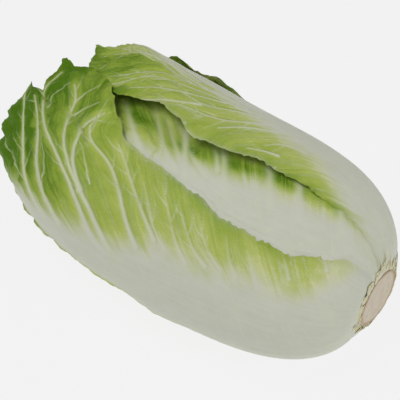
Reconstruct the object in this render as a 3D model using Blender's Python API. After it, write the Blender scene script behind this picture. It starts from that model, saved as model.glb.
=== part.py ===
"""A head of napa cabbage, lying on its side on a flat surface.

Frame: +Z is up and the surface is at z = 0. The head's axis lies along X, with the cut stem towards +X
and the leaf tips towards -X. The front of the head faces -Y.

A place in the head is given by three numbers. "along" runs from 0 at the cut end to 1 at the tip end, as a
share of the head's outline. "angle" goes round the axis, in degrees, from 0 at the top through 90 at the
front. "depth" is how far the place lies under the head's outside, towards the spine inside it. The leaves
are packed from the outside in: each one lies under those that are already there.
"""

import math
from dataclasses import dataclass

import bmesh
import bpy
import numpy as np

# The whole head, in metres.
CUT_FACE_X = 0.1357  # the cut face of the stem; the leaf tips are at the other end
HEAD_END_X = 0.136  # where the leaf bases round over beside the cut face
TIP_END_X = -0.140
HEAD_RADIUS = 0.0766
AXIS_HEIGHT = 0.068  # less than the radius: the head's own weight flattens it underneath
FLAT_BLEND = 0.003  # how softly the flattened underside runs into the round sides
BASE_BLUNTNESS = 2.8  # exponents of the superellipse that the head's outline follows
TIP_BLUNTNESS = 3.0
SPINE_START_X = 0.080  # the depths run towards a line inside the head, from here
SPINE_END_X = -0.075  # to here

# The stem's cut end, with its core reaching into the head.
STEM_RADIUS = 0.0210
STEM_RIM = 0.0012
LEAVES_START = 0.066  # where the leaves leave the stem, along the outline
CORE_CLEARANCE = 0.004  # also along the outline
CORE_SHOULDER_DEPTH = 0.0005
CORE_TIP_DEPTH = 0.044
CORE_BLUNTNESS = 0.001
HEART_HOLLOW_X = 0.0785  # the heart opens towards the core, and its hollow ends here

# Leaf thicknesses, in metres.
LEAF_GAP = 0.0012
EDGE_THICKNESS = 0.0012
BLADE_THICKNESS = 0.0028
RIB_THICKNESS_BASE = 0.0085
RIB_THICKNESS_TIP = 0.0030
RIB_WIDTH_BASE = 36.0  # half the midrib's width, in degrees round the axis
RIB_WIDTH_TIP = 8.0
EDGE_TAPER = 16.0  # the blade thins towards its edge over this angle

# How finely the packing is worked out, and how finely each whorl of leaves is built.
FIELD_ROWS = 91
FIELD_STEP = 3.0  # degrees
REACH = 4  # cells over which a leaf gives way to the steps in the leaves over it
SOFTENING = 3  # cells over which it rounds them off
STATIONS = 21  # cross-sections that all leaves share
END_ROWS = (0.35, 0.7, 1.0)  # shares of the way from the last section to a leaf's end
OUTER_COLUMNS = 14
MIDDLE_COLUMNS = 9
INNER_COLUMNS = 7
HEART_COLUMNS = 20
STEM_COLUMNS = 24

# A leaf grows two fifths of a turn from the one before it.
DIVERGENCE = -144.0
WHORL = 5

# Depths at which the hidden whorls and the heart would lie with nothing over them.
MIDDLE_DEPTH = 0.009
INNER_DEPTH = 0.019
HEART_DEPTH = 0.028
TIP_HOLLOW = 0.010  # the inner leaves stop short of the outer ones' tips by this much
TIP_HOLLOW_START = 0.74
TIP_HOLLOW_END = 0.94

# Finishes: base colour, roughness.
MIDRIB_WHITE = ((0.62, 0.64, 0.52), 0.45)
OUTER_GREEN = ((0.30, 0.43, 0.08), 0.5)
MIDDLE_GREEN = ((0.42, 0.52, 0.14), 0.5)
HEART_YELLOW = ((0.66, 0.66, 0.30), 0.5)
CUT_STEM = ((0.62, 0.50, 0.36), 0.7)


@dataclass
class Leaf:
    """One leaf, as lists of (along, value) pairs that a smooth line runs through."""

    name: str
    centre: list  # angle of the midrib
    low: list  # angle of the edge on the side of falling angle
    high: list  # angle of the edge on the side of rising angle
    end: list  # where the leaf ends along the head, from -1 at its low edge to 1 at its high edge
    depth: list  # depth of the midrib's outside, with nothing over it
    low_sink: list  # how much deeper the low edge lies than the midrib
    high_sink: list
    columns: int = OUTER_COLUMNS


OUTER_LEAVES = [
    Leaf(
        name="outer_leaf_1",
        centre=[(0.0, -126), (1.0, -126)],
        low=[(0.06, -176), (0.3, -190), (0.7, -196), (1.0, -196)],
        high=[(0.06, -82), (0.3, -80), (0.46, -76), (0.52, -62), (0.68, -58), (0.76, -62), (1.0, -64)],
        end=[(-1, 0.82), (-0.6, 0.87), (0, 0.89), (0.6, 0.85), (1, 0.765)],
        depth=[(0.0, 0.0), (1.0, 0.0)],
        low_sink=[(0.0, 0.0), (1.0, 0.0)],
        high_sink=[(0.0, 0.0), (0.46, 0.0), (0.56, -0.006), (0.66, -0.006), (0.78, -0.003), (1.0, 0.0)],
    ),
    Leaf(
        name="outer_leaf_2",
        centre=[(0.0, 88), (0.3, 88), (0.6, 94), (1.0, 90)],
        low=[(0.06, 28), (0.10, 12), (0.16, 15), (0.20, 23), (0.26, 31), (0.38, 30.5), (0.45, 25.5),
             (0.55, 21.5), (0.61, 19), (0.65, 9), (0.70, -1), (0.75, -8), (0.81, -12), (1.0, -12)],
        high=[(0.06, 140), (0.3, 148), (0.7, 156), (1.0, 156)],
        end=[(-1, 0.807), (-0.87, 0.804), (-0.76, 0.82), (-0.7, 0.862), (-0.55, 0.888), (-0.3, 0.882),
             (-0.1, 0.864), (0.5, 0.875), (1, 0.83)],
        depth=[(0.0, 0.0), (1.0, 0.0)],
        low_sink=[(0.0, 0.002), (0.2, 0.003), (0.4, 0.005), (0.58, 0.007), (0.66, 0.0), (1.0, 0.0)],
        high_sink=[(0.0, 0.002), (1.0, 0.002)],
    ),
    Leaf(
        name="outer_leaf_3",
        centre=[(0.0, -56), (0.4, -56), (0.7, -48), (1.0, -46)],
        low=[(0.06, -112), (0.3, -120), (1.0, -124)],
        high=[(0.06, 0), (0.13, -6), (0.21, -9), (0.27, -6), (0.37, -3), (0.45, 2), (0.50, 4), (0.54, -2),
              (0.59, -5), (0.62, -2), (0.66, 1), (0.70, -3), (1.0, -8)],
        end=[(-1, 0.77), (-0.5, 0.80), (-0.05, 0.784), (0.06, 0.797), (0.35, 0.765), (1, 0.745)],
        depth=[(0.0, 0.0), (1.0, 0.0)],
        low_sink=[(0.0, 0.003), (1.0, 0.003)],
        high_sink=[(0.0, 0.003), (0.2, 0.002), (0.35, -0.001), (0.5, -0.002), (0.62, 0.0), (0.7, 0.003),
                   (1.0, 0.004)],
    ),
    Leaf(
        name="outer_leaf_4",
        centre=[(0.0, 162), (1.0, 162)],
        low=[(0.06, 112), (0.3, 98), (0.7, 92), (1.0, 92)],
        high=[(0.06, 212), (0.3, 226), (0.7, 232), (1.0, 232)],
        end=[(-1, 0.82), (-0.5, 0.87), (0.1, 0.885), (0.6, 0.86), (1, 0.80)],
        depth=[(0.0, 0.001), (1.0, 0.001)],
        low_sink=[(0.0, 0.003), (1.0, 0.003)],
        high_sink=[(0.0, 0.003), (1.0, 0.003)],
    ),
    Leaf(
        name="outer_leaf_5",
        centre=[(0.06, 2), (0.17, 6), (0.27, 12), (0.38, 16), (0.5, 12), (0.62, 6), (1.0, 2)],
        low=[(0.06, -52), (0.3, -54), (0.7, -66), (1.0, -68)],
        high=[(0.06, 58), (0.3, 74), (0.7, 80), (1.0, 80)],
        end=[(-1, 0.80), (0, 0.84), (1, 0.80)],
        depth=[(0.0, 0.003), (0.12, 0.004), (0.25, 0.006), (0.42, 0.008), (0.6, 0.012), (0.75, 0.016),
               (1.0, 0.018)],
        low_sink=[(0.0, 0.001), (0.4, 0.002), (1.0, 0.004)],
        high_sink=[(0.0, 0.001), (1.0, 0.002)],
    ),
]


def through(points, along):
    """The value at "along" on a smooth line through (along, value) pairs, flat past its ends."""
    x, y = np.array(points, float).T
    along = np.clip(along, x[0], x[-1])
    i = np.clip(np.searchsorted(x, along, side="right") - 1, 0, len(x) - 2)
    t = (along - x[i]) / (x[i + 1] - x[i])
    return y[i] + (y[i + 1] - y[i]) * ease(t)


def ease(t):
    """0 to 1 with no slope at either end."""
    t = np.clip(t, 0.0, 1.0)
    return t * t * (3 - 2 * t)


def hollow_at_tip(at_base, depth):
    """(along, depth) pairs of a hidden piece that sinks away from the outer leaves' tips."""
    return [(0.0, at_base), (0.3, depth), (TIP_HOLLOW_START, depth), (TIP_HOLLOW_END, depth + TIP_HOLLOW)]


def hidden_whorl(word, first_angle, columns, depth):
    """Five leaves of one hidden whorl, the outermost first."""
    leaves = []
    for number in range(WHORL):
        angle = first_angle + DIVERGENCE * number
        leaves.append(
            Leaf(
                name=f"{word}_leaf_{number + 1}",
                centre=[(0.0, angle), (1.0, angle)],
                low=[(0.06, angle - 52), (0.4, angle - 62), (1.0, angle - 72)],
                high=[(0.06, angle + 52), (0.4, angle + 62), (1.0, angle + 72)],
                end=[(-1, 0.80), (-0.6, 0.875), (0, 0.90), (0.6, 0.875), (1, 0.80)],
                depth=hollow_at_tip(depth * 0.5, depth),
                low_sink=[(0.0, 0.0), (1.0, 0.0)],
                high_sink=[(0.0, 0.0), (1.0, 0.0)],
                columns=columns,
            )
        )
    return leaves


def outline_table():
    """The head's outline as arrays of along, x and radius: two half superellipses."""
    turn = np.linspace(0.0, math.pi, 4001)
    cos, sin = np.cos(turn), np.sin(turn)
    power = 2.0 / np.where(cos > 0, BASE_BLUNTNESS, TIP_BLUNTNESS)
    middle = (HEAD_END_X + TIP_END_X) / 2
    half_length = (HEAD_END_X - TIP_END_X) / 2
    x = middle + half_length * np.sign(cos) * np.abs(cos) ** power
    radius = HEAD_RADIUS * np.abs(sin) ** power
    run = np.concatenate([[0.0], np.cumsum(np.hypot(np.diff(x), np.diff(radius)))])
    return run / run[-1], x, radius


OUTLINE = outline_table()


def flattened(down):
    """A distance under the axis, held at the surface that the head lies on, with a soft start."""
    over = (down - AXIS_HEIGHT) / FLAT_BLEND
    eased = AXIS_HEIGHT - FLAT_BLEND * (1 - over) ** 2 / 4
    return np.where(over < -1, down, np.where(over > 1, AXIS_HEIGHT, eased))


def place(along, angle, depth):
    """Points in the head, from arrays of along, angle in degrees and depth in metres."""
    x = np.interp(along, OUTLINE[0], OUTLINE[1])
    radius = np.interp(along, OUTLINE[0], OUTLINE[2])
    turn = np.radians(angle)
    y, z = -radius * np.sin(turn), radius * np.cos(turn)
    z = np.where(z < 0, -flattened(-z), z)
    share = (HEAD_END_X - x) / (HEAD_END_X - TIP_END_X)
    spine_x = SPINE_START_X + (SPINE_END_X - SPINE_START_X) * share
    inward = np.stack(np.broadcast_arrays(spine_x - x, -y, -z), -1)
    inward /= np.linalg.norm(inward, axis=-1, keepdims=True)
    outside = np.stack(np.broadcast_arrays(x, y, z), -1)
    return outside + inward * np.asarray(depth)[..., None] + [0.0, 0.0, AXIS_HEIGHT]


class Packing:
    """How deep the space under the leaves packed so far begins, over the whole head."""

    def __init__(self):
        self.along = np.linspace(0.0, 1.0, FIELD_ROWS)[:, None]
        self.angle = np.arange(-180.0, 180.0, FIELD_STEP)[None, :]
        self.free = np.full((FIELD_ROWS, self.angle.shape[1]), -1.0)

    def settle(self, wished):
        """The outside of a piece that would lie at the wished depths, pushed under the leaves there."""
        field = np.maximum(self.free + LEAF_GAP, wished)
        for _ in range(REACH):
            field = np.max(neighbours(field), axis=0)
        for _ in range(SOFTENING):
            field = np.mean(neighbours(field), axis=0)
        return field

    def add(self, leaf):
        """Packs a leaf under the others and returns the depths of its outside and inside."""
        shape = LeafShape(leaf)
        outside = self.settle(shape.wished_depth(self.along, self.angle))
        inside = outside + shape.thickness(self.along, self.angle)
        covered = shape.covers(self.along, self.angle)
        self.free = np.where(covered, np.maximum(self.free, inside), self.free)
        return outside, inside

    def read(self, field, along, angle):
        """A field's values between its cells."""
        row = np.clip(along, 0.0, 1.0) * (FIELD_ROWS - 1)
        column = (np.asarray(angle) + 180.0) / FIELD_STEP
        r = np.clip(np.floor(row).astype(int), 0, FIELD_ROWS - 2)
        c = np.floor(column).astype(int)
        u, w = row - r, column - c
        count = field.shape[1]
        left, right = c % count, (c + 1) % count
        near = field[r, left] * (1 - w) + field[r, right] * w
        far = field[r + 1, left] * (1 - w) + field[r + 1, right] * w
        return near * (1 - u) + far * u


def neighbours(field):
    """A field and its four shifted copies. It closes on itself round the axis, and not along it."""
    before = np.vstack([field[:1], field[:-1]])
    after = np.vstack([field[1:], field[-1:]])
    return np.stack([field, before, after, np.roll(field, 1, axis=1), np.roll(field, -1, axis=1)])


class LeafShape:
    """A leaf's outline and thickness as functions of along and angle."""

    def __init__(self, leaf):
        self.leaf = leaf

    def edges(self, along):
        """Angles of the centre and of the low and high edges."""
        leaf = self.leaf
        return through(leaf.centre, along), through(leaf.low, along), through(leaf.high, along)

    def side(self, along, angle):
        """Where an angle falls across the leaf: 0 at the midrib, -1 at the low and 1 at the high edge."""
        centre, low, high = self.edges(along)
        off = (angle - centre + 180.0) % 360.0 - 180.0
        return np.where(off < 0, off / (centre - low), off / (high - centre)), off

    def covers(self, along, angle):
        """True where the leaf lies."""
        side, _ = self.side(along, angle)
        return (np.abs(side) <= 1.05) & (along <= through(self.leaf.end, side) + 0.01)

    def wished_depth(self, along, angle):
        """The depth of the outside with nothing over the leaf."""
        side, _ = self.side(along, angle)
        sink = np.where(side < 0, through(self.leaf.low_sink, along), through(self.leaf.high_sink, along))
        return through(self.leaf.depth, along) + sink * ease((np.abs(side) - 0.35) / 0.65)

    def thickness(self, along, angle):
        """Thick at the midrib, thin over the blade, thinnest at the edges."""
        side, off = self.side(along, angle)
        _, low, high = self.edges(along)
        from_edge = (1 - np.minimum(np.abs(side), 1)) * (high - low) / 2
        blade = EDGE_THICKNESS + (BLADE_THICKNESS - EDGE_THICKNESS) * ease(from_edge / EDGE_TAPER)
        rib_width = RIB_WIDTH_BASE + (RIB_WIDTH_TIP - RIB_WIDTH_BASE) * along
        rib_rise = RIB_THICKNESS_BASE + (RIB_THICKNESS_TIP - RIB_THICKNESS_BASE) * along - BLADE_THICKNESS
        return blade + rib_rise * np.clip(1 - (off / rib_width) ** 2, 0, 1)


def stations():
    """The shared cross-sections, closer together where the head rounds over."""
    share = np.linspace(0.0, 1.0, STATIONS)
    return LEAVES_START + (0.985 - LEAVES_START) * (share - 0.05 * np.sin(2 * math.pi * share))


def material(name, finish):
    """A plain finish of one colour and roughness."""
    colour, roughness = finish
    made = bpy.data.materials.new(name)
    made.use_nodes = True
    shader = made.node_tree.nodes["Principled BSDF"]
    shader.inputs["Base Color"].default_value = (*colour, 1.0)
    shader.inputs["Roughness"].default_value = roughness
    shader.inputs["Metallic"].default_value = 0.0
    return made


def add_object(name, mesh_builder, finish):
    """Turns a bmesh into an object in the scene, shaded smooth over its gentle bends."""
    bmesh.ops.recalc_face_normals(mesh_builder, faces=mesh_builder.faces)
    mesh = bpy.data.meshes.new(name)
    mesh_builder.to_mesh(mesh)
    mesh_builder.free()
    mesh.materials.append(finish)
    mesh.shade_smooth()
    mesh.set_sharp_from_angle(angle=math.radians(50))
    bpy.context.scene.collection.objects.link(bpy.data.objects.new(name, mesh))


def sheet(builder, points):
    """Adds a grid of points as faces, and returns its rows of vertices."""
    rows = [[builder.verts.new(p) for p in row] for row in points]
    for near, far in zip(rows, rows[1:]):
        for k in range(len(near) - 1):
            builder.faces.new((near[k], near[k + 1], far[k + 1], far[k]))
    return rows


def border(rows):
    """The vertices round the edge of a sheet, in order."""
    right = [row[-1] for row in rows[1:-1]]
    left = [row[0] for row in reversed(rows[1:-1])]
    return rows[0] + right + rows[-1][::-1] + left


def leaf_grid(leaf):
    """The leaf's places as arrays of along and angle. Its last rows run out to its uneven end."""
    side = np.linspace(-1.0, 1.0, leaf.columns + 1)[None, :]
    end = through(leaf.end, side)
    body = stations()
    body = body[body < end.min() - 0.03][:, None]
    last = body[-1, 0]
    along = np.vstack([body + 0 * side] + [last + (end - last) * share for share in END_ROWS])
    centre, low, high = LeafShape(leaf).edges(along)
    return along, centre + np.where(side < 0, centre - low, high - centre) * side


def build_leaf(packing, leaf, finish):
    """Packs one leaf and builds it: an outside sheet, an inside sheet and the thin edge between them."""
    along, angle = leaf_grid(leaf)
    builder = bmesh.new()
    skins = []
    for field in packing.add(leaf):
        skins.append(sheet(builder, place(along, angle, packing.read(field, along, angle))))
    top, bottom = border(skins[0]), border(skins[1])
    for k in range(len(top)):
        builder.faces.new((top[k - 1], top[k], bottom[k], bottom[k - 1]))
    add_object(leaf.name, builder, finish)


def turned(name, rings, start, end, finish):
    """Adds a solid of stacked rings of points, closed by a point at its start and one at its end."""
    builder = bmesh.new()
    rows = [[builder.verts.new(p) for p in ring] for ring in rings]
    for near, far in zip(rows, rows[1:]):
        for k in range(len(near)):
            builder.faces.new((near[k - 1], near[k], far[k], far[k - 1]))
    first, last = builder.verts.new(start), builder.verts.new(end)
    for k in range(len(rows[0])):
        builder.faces.new((rows[0][k], rows[0][k - 1], first))
        builder.faces.new((rows[-1][k - 1], rows[-1][k], last))
    add_object(name, builder, finish)


def build_heart(packing, finish):
    """The small leaves at the centre, folded too tightly to tell apart, round the tip of the core."""
    outside = packing.settle(through(hollow_at_tip(HEART_DEPTH * 0.6, HEART_DEPTH), packing.along))
    along = stations()[:, None]
    angle = np.linspace(-180.0, 180.0, HEART_COLUMNS + 1)[None, :-1]
    along, angle = np.broadcast_arrays(along, angle)
    points = place(along, angle, packing.read(outside, along, angle))
    hollow = (HEART_HOLLOW_X, 0.0, AXIS_HEIGHT)
    turned("heart_leaves", points, hollow, points[-1].mean(axis=0), finish)


def build_stem(finish):
    """The cut stem: a short round butt, and a core that narrows to a blunt tip between the leaves."""
    turns = np.linspace(-180.0, 180.0, STEM_COLUMNS + 1)[:-1]
    around = np.radians(turns)
    rings = []
    for x, radius in ((CUT_FACE_X, STEM_RADIUS - STEM_RIM), (CUT_FACE_X - STEM_RIM / 2, STEM_RADIUS)):
        side = (np.full(STEM_COLUMNS, x), -radius * np.sin(around), AXIS_HEIGHT + radius * np.cos(around))
        rings.append(np.stack(side, -1))
    core_start = np.full(STEM_COLUMNS, LEAVES_START - CORE_CLEARANCE)
    for depth in (CORE_SHOULDER_DEPTH, CORE_TIP_DEPTH):
        rings.append(place(core_start, turns, np.full(STEM_COLUMNS, depth)))
    blunt_end = rings[-1].mean(axis=0) - [CORE_BLUNTNESS, 0.0, 0.0]
    turned("cut_stem", rings, (CUT_FACE_X, 0.0, AXIS_HEIGHT), blunt_end, finish)


def main():
    for old in list(bpy.data.objects):
        bpy.data.objects.remove(old)
    outer = material("outer_leaf_green", OUTER_GREEN)
    middle = material("middle_leaf_green", MIDDLE_GREEN)
    heart = material("heart_yellow", HEART_YELLOW)
    packing = Packing()
    for leaf in OUTER_LEAVES:
        build_leaf(packing, leaf, outer)
    for leaf in hidden_whorl("middle", -126.0, MIDDLE_COLUMNS, MIDDLE_DEPTH):
        build_leaf(packing, leaf, middle)
    for leaf in hidden_whorl("inner", -126.0, INNER_COLUMNS, INNER_DEPTH):
        build_leaf(packing, leaf, heart)
    build_heart(packing, heart)
    build_stem(material("cut_stem", CUT_STEM))


main()
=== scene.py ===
"""The looks of a head of napa cabbage lying on its side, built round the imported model.

Frame: +Z is up and the floor is at z = 0. The head's axis lies along X, the cut stem is towards +X and the
leaf tips are towards -X. The front of the head faces -Y.

A place in the head is "along" (0 at the cut end, 1 at the tip end, as a share of the head's outline),
"angle" (degrees round the axis, 0 at the top and 90 at the front) and "depth" (metres under the head's
outside, towards the spine inside it). The leaves are packed from the outside in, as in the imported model, and
each visible leaf is a thin crinkled sheet inside the space of the solid that it replaces.
"""

import logging
import math
from dataclasses import dataclass, field
from enum import Enum
from functools import cached_property
from typing import Any, Sequence

import bpy
import numpy as np
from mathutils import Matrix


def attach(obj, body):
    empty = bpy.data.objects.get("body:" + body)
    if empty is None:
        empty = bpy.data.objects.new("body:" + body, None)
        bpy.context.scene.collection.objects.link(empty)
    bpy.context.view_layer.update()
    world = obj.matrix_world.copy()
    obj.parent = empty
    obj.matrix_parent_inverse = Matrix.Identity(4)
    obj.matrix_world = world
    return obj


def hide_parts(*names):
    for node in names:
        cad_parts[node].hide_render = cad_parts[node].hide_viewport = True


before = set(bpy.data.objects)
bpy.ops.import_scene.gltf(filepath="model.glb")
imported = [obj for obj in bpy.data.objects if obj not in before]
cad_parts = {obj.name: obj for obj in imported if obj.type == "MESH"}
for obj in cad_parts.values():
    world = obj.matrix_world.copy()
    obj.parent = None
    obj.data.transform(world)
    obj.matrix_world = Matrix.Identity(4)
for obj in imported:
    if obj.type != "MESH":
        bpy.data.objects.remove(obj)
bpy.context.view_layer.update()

LOG = logging.getLogger("napa_cabbage")
MM = 0.001

Pairs = Sequence[tuple[float, float]]
Spot = tuple[float, float, float, float, float]  # along, angle, reach along, reach of angle, amount
Colour = tuple[float, float, float]


class Whorl(Enum):
    """Which whorl of leaves a leaf belongs to, from the outside in."""

    OUTER = "outer_leaf"
    MIDDLE = "middle_leaf"
    INNER = "heart_leaf"


class Edge(Enum):
    """One of a leaf's two long edges: towards falling or towards rising angle."""

    LOW = -1
    HIGH = 1


# Curves and noise


def ease(t: np.ndarray) -> np.ndarray:
    """Rises from 0 to 1 with no slope at either end."""
    t = np.clip(t, 0.0, 1.0)
    return t * t * (3 - 2 * t)


def bell(distance: np.ndarray) -> np.ndarray:
    """Falls away from 1 on both sides of 0, with a distance of 1 as its reach."""
    return np.exp(-(distance**2))


def between(ends: tuple[float, float], share: np.ndarray) -> np.ndarray:
    """Goes from the first end to the second as the share goes from 0 to 1."""
    return ends[0] + (ends[1] - ends[0]) * share


def through(points: Pairs, x: np.ndarray, smooth: bool = False) -> np.ndarray:
    """Reads a line through control points, held flat past its ends.

    Args:
        points: Pairs of position and value, in rising order of position.
        x: Positions to read.
        smooth: Passes the points without a step, as a Catmull-Rom line does, and doesn't level out at each.

    Returns:
        The values there.
    """
    at, value = np.array(points, float).T
    x = np.clip(x, at[0], at[-1])
    i = np.clip(np.searchsorted(at, x, side="right") - 1, 0, len(at) - 2)
    run = at[i + 1] - at[i]
    t = (x - at[i]) / run
    if not smooth:
        return value[i] + (value[i + 1] - value[i]) * ease(t)
    slope = np.gradient(value, at)
    start = (1 + 2 * t) * (1 - t) ** 2 * value[i] + t * (1 - t) ** 2 * run * slope[i]
    return start + t**2 * (3 - 2 * t) * value[i + 1] + t**2 * (t - 1) * run * slope[i + 1]


def spline(points: Pairs, x: np.ndarray) -> np.ndarray:
    """Reads a line that passes its control points without a step."""
    return through(points, x, smooth=True)


def cubic_shares(t: np.ndarray) -> tuple[np.ndarray, ...]:
    """Works out the weights of a cubic B-spline.

    Args:
        t: How far along the span from the second control value to the third.

    Returns:
        The weights of the four control values.
    """
    rest = 1 - t
    middle = (3 * t**3 - 6 * t**2 + 4) / 6, (-3 * t**3 + 3 * t**2 + 3 * t + 1) / 6
    return rest**3 / 6, *middle, t**3 / 6


class SmoothNoise:
    """Smooth seeded noise on the plane, between -1 and 1."""

    SIZE = 64

    def __init__(self, seed: int) -> None:
        """Draws the lattice for one seed."""
        self.lattice = np.random.default_rng(seed).uniform(-1.0, 1.0, (self.SIZE, self.SIZE))

    def __call__(self, x: np.ndarray, y: np.ndarray) -> np.ndarray:
        """Reads the noise, whose features are about one unit across.

        Args:
            x: Places along the lattice's first axis.
            y: Places along its second axis.

        Returns:
            The noise there.
        """
        x0, y0 = np.floor(x), np.floor(y)
        u, w = ease(x - x0), ease(y - y0)
        i, j = x0.astype(int) % self.SIZE, y0.astype(int) % self.SIZE
        i1, j1 = (i + 1) % self.SIZE, (j + 1) % self.SIZE
        low = self.lattice[i, j] * (1 - w) + self.lattice[i, j1] * w
        high = self.lattice[i1, j] * (1 - w) + self.lattice[i1, j1] * w
        return low * (1 - u) + high * u

    def layered(self, x: np.ndarray, y: np.ndarray, layers: int = 3) -> np.ndarray:
        """Adds finer and weaker layers of the same noise.

        Args:
            x: Places along the lattice's first axis.
            y: Places along its second axis.
            layers: How many layers, each twice as fine as the last.

        Returns:
            Their sum.
        """
        total = np.zeros(np.broadcast(x, y).shape)
        for k in range(layers):
            total = total + self(x * 2**k + 7.3 * k, y * 2**k + 3.1 * k) / 2**k
        return total


# The head's outline and how the leaves are packed under it


@dataclass(frozen=True)
class HeadShape:
    """The outline of the whole head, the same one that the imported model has."""

    end_x: float = 0.136
    tip_x: float = -0.140
    radius: float = 0.0766
    axis_height: float = 0.068
    flat_blend: float = 0.003  # over how much height the outside turns into the flat underside
    base_bluntness: float = 2.8
    tip_bluntness: float = 3.0
    spine: tuple[float, float] = (0.080, -0.075)  # where the line that depths point to starts and ends
    leaves_start: float = 0.058

    @cached_property
    def table(self) -> np.ndarray:
        """Works out the outline.

        Returns:
            Distances along it, and x and the radius there.
        """
        turn = np.linspace(0.0, math.pi, 4001)
        cos, sin = np.cos(turn), np.sin(turn)
        power = 2.0 / np.where(cos > 0, self.base_bluntness, self.tip_bluntness)
        half = (self.end_x - self.tip_x) / 2
        x = (self.end_x + self.tip_x) / 2 + half * np.sign(cos) * np.abs(cos) ** power
        radius = self.radius * np.abs(sin) ** power
        run = np.concatenate([[0.0], np.cumsum(np.hypot(np.diff(x), np.diff(radius)))])
        return np.stack([run, x, radius])

    @cached_property
    def length(self) -> float:
        """The outline's length from the cut end to the tip end, in metres."""
        return float(self.table[0, -1])

    def radius_at(self, along: np.ndarray) -> np.ndarray:
        """The head's radius at places along it."""
        return np.interp(along, self.table[0] / self.length, self.table[2])

    def place(self, along: np.ndarray, angle: np.ndarray, depth: np.ndarray) -> np.ndarray:
        """Turns places in the head into points.

        Args:
            along: Shares of the outline.
            angle: Degrees round the axis.
            depth: Metres under the outside.

        Returns:
            The points, with x, y and z in the last axis.
        """
        x = np.interp(along, self.table[0] / self.length, self.table[1])
        radius = self.radius_at(along)
        turn = np.radians(angle)
        y, z = -radius * np.sin(turn), radius * np.cos(turn)
        over = (-z - self.axis_height) / self.flat_blend
        eased = self.flat_blend * (1 - over) ** 2 / 4 - self.axis_height
        z = np.where(over < -1, z, np.where(over > 1, -self.axis_height, eased))
        spine_x = between(self.spine, (self.end_x - x) / (self.end_x - self.tip_x))
        inward = np.stack(np.broadcast_arrays(spine_x - x, -y, -z), -1)
        inward = inward / np.linalg.norm(inward, axis=-1, keepdims=True)
        outside = np.stack(np.broadcast_arrays(x, y, z), -1)
        return outside + inward * np.asarray(depth)[..., None] + [0.0, 0.0, self.axis_height]


HEAD = HeadShape()
CUT_LEAN: Spot = (0.050, 28.6, 0.030, 80.0, -0.0050)  # the leaf bases lie back round the top of the cut


@dataclass
class LeafPlan:
    """One leaf's outline and lie, as (along, value) pairs that smooth lines run through."""

    node: str
    whorl: Whorl
    centre: Pairs
    low: Pairs
    high: Pairs
    end: Pairs  # where the leaf ends, from -1 at its low edge to 1 at its high edge
    rib_low: Pairs  # where the white midrib gives way to the blade
    rib_high: Pairs
    depth: Pairs = ((0, 0), (1, 0))
    low_sink: Pairs = ((0, 0), (1, 0))
    high_sink: Pairs = ((0, 0), (1, 0))
    veins: Sequence[Pairs] = ()  # main veins with a course of their own, as (along, angle) pairs
    vein_starts: dict[Edge, Sequence[float]] = field(default_factory=dict)
    vein_lean: dict[Edge, Pairs] = field(default_factory=dict)
    fine_veins: Sequence[Pairs] = ()  # smaller veins with a course of their own
    vein_width: tuple[float, float] = (2.1 * MM, 0.5 * MM)
    side_spacing: float = 17 * MM  # between the side veins along a main vein
    firm_from: float = 0.44  # main veins that start before this are faint
    creases: float = 1.0  # how deep the creases beside its main veins are, and how dark their painted shade is
    swells: Sequence[Spot] = ()  # where it bulges out, in metres
    leans: Sequence[Spot] = ()  # where its end is bent sideways, in degrees
    tints_and_shadows: Sequence[Spot] = ()  # where it is a darker green: its own tint, or painted shadow where the edge of the leaf over it shades it
    greenness: float = 0.0  # darker green when positive
    fade: float = 17 * MM  # how far out from the midrib it is fully green
    wedge: float = 4 * MM  # how far the green reaches into the midrib between the veins
    teeth: Pairs = ((0, 1.2), (1, 1.2))  # how ragged its long edges are, in degrees
    lobes: float = 0.010  # how ragged its end is, along the head
    rise: float = 0.0  # how far it stands up wherever there is room, in metres
    seen: tuple[float, float] = (-1.0, 1.0)  # the part across the leaf that shows
    rows: int = 220
    columns: int = 120
    seed: int = 1

    def edges(self, along: np.ndarray) -> tuple[np.ndarray, np.ndarray, np.ndarray]:
        """Angles of the centre, the low edge and the high edge."""
        return through(self.centre, along), through(self.low, along), through(self.high, along)

    def spotted(self, spots: Sequence[Spot], along: np.ndarray, off: np.ndarray) -> np.ndarray:
        """Adds up soft round spots.

        Args:
            spots: The spots.
            along: Places along the head.
            off: Degrees from the leaf's centre.

        Returns:
            Their sum at those places.
        """
        total = np.zeros(np.broadcast(along, off).shape)
        centre = through(self.centre, along)
        for at, angle, reach_along, reach_angle, amount in spots:
            away = ((along - at) / reach_along) ** 2 + ((off + centre - angle) / reach_angle) ** 2
            total = total + amount * np.exp(-away)
        return total

    def side(self, along: np.ndarray, angle: np.ndarray) -> tuple[np.ndarray, np.ndarray]:
        """Finds where angles fall across the leaf.

        Args:
            along: Places along the head.
            angle: Degrees round the axis.

        Returns:
            The side, -1 at the low and 1 at the high edge, and the angle from the centre.
        """
        centre, low, high = self.edges(along)
        off = (angle - centre + 180.0) % 360.0 - 180.0
        return np.where(off < 0, off / (centre - low), off / (high - centre)), off


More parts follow.
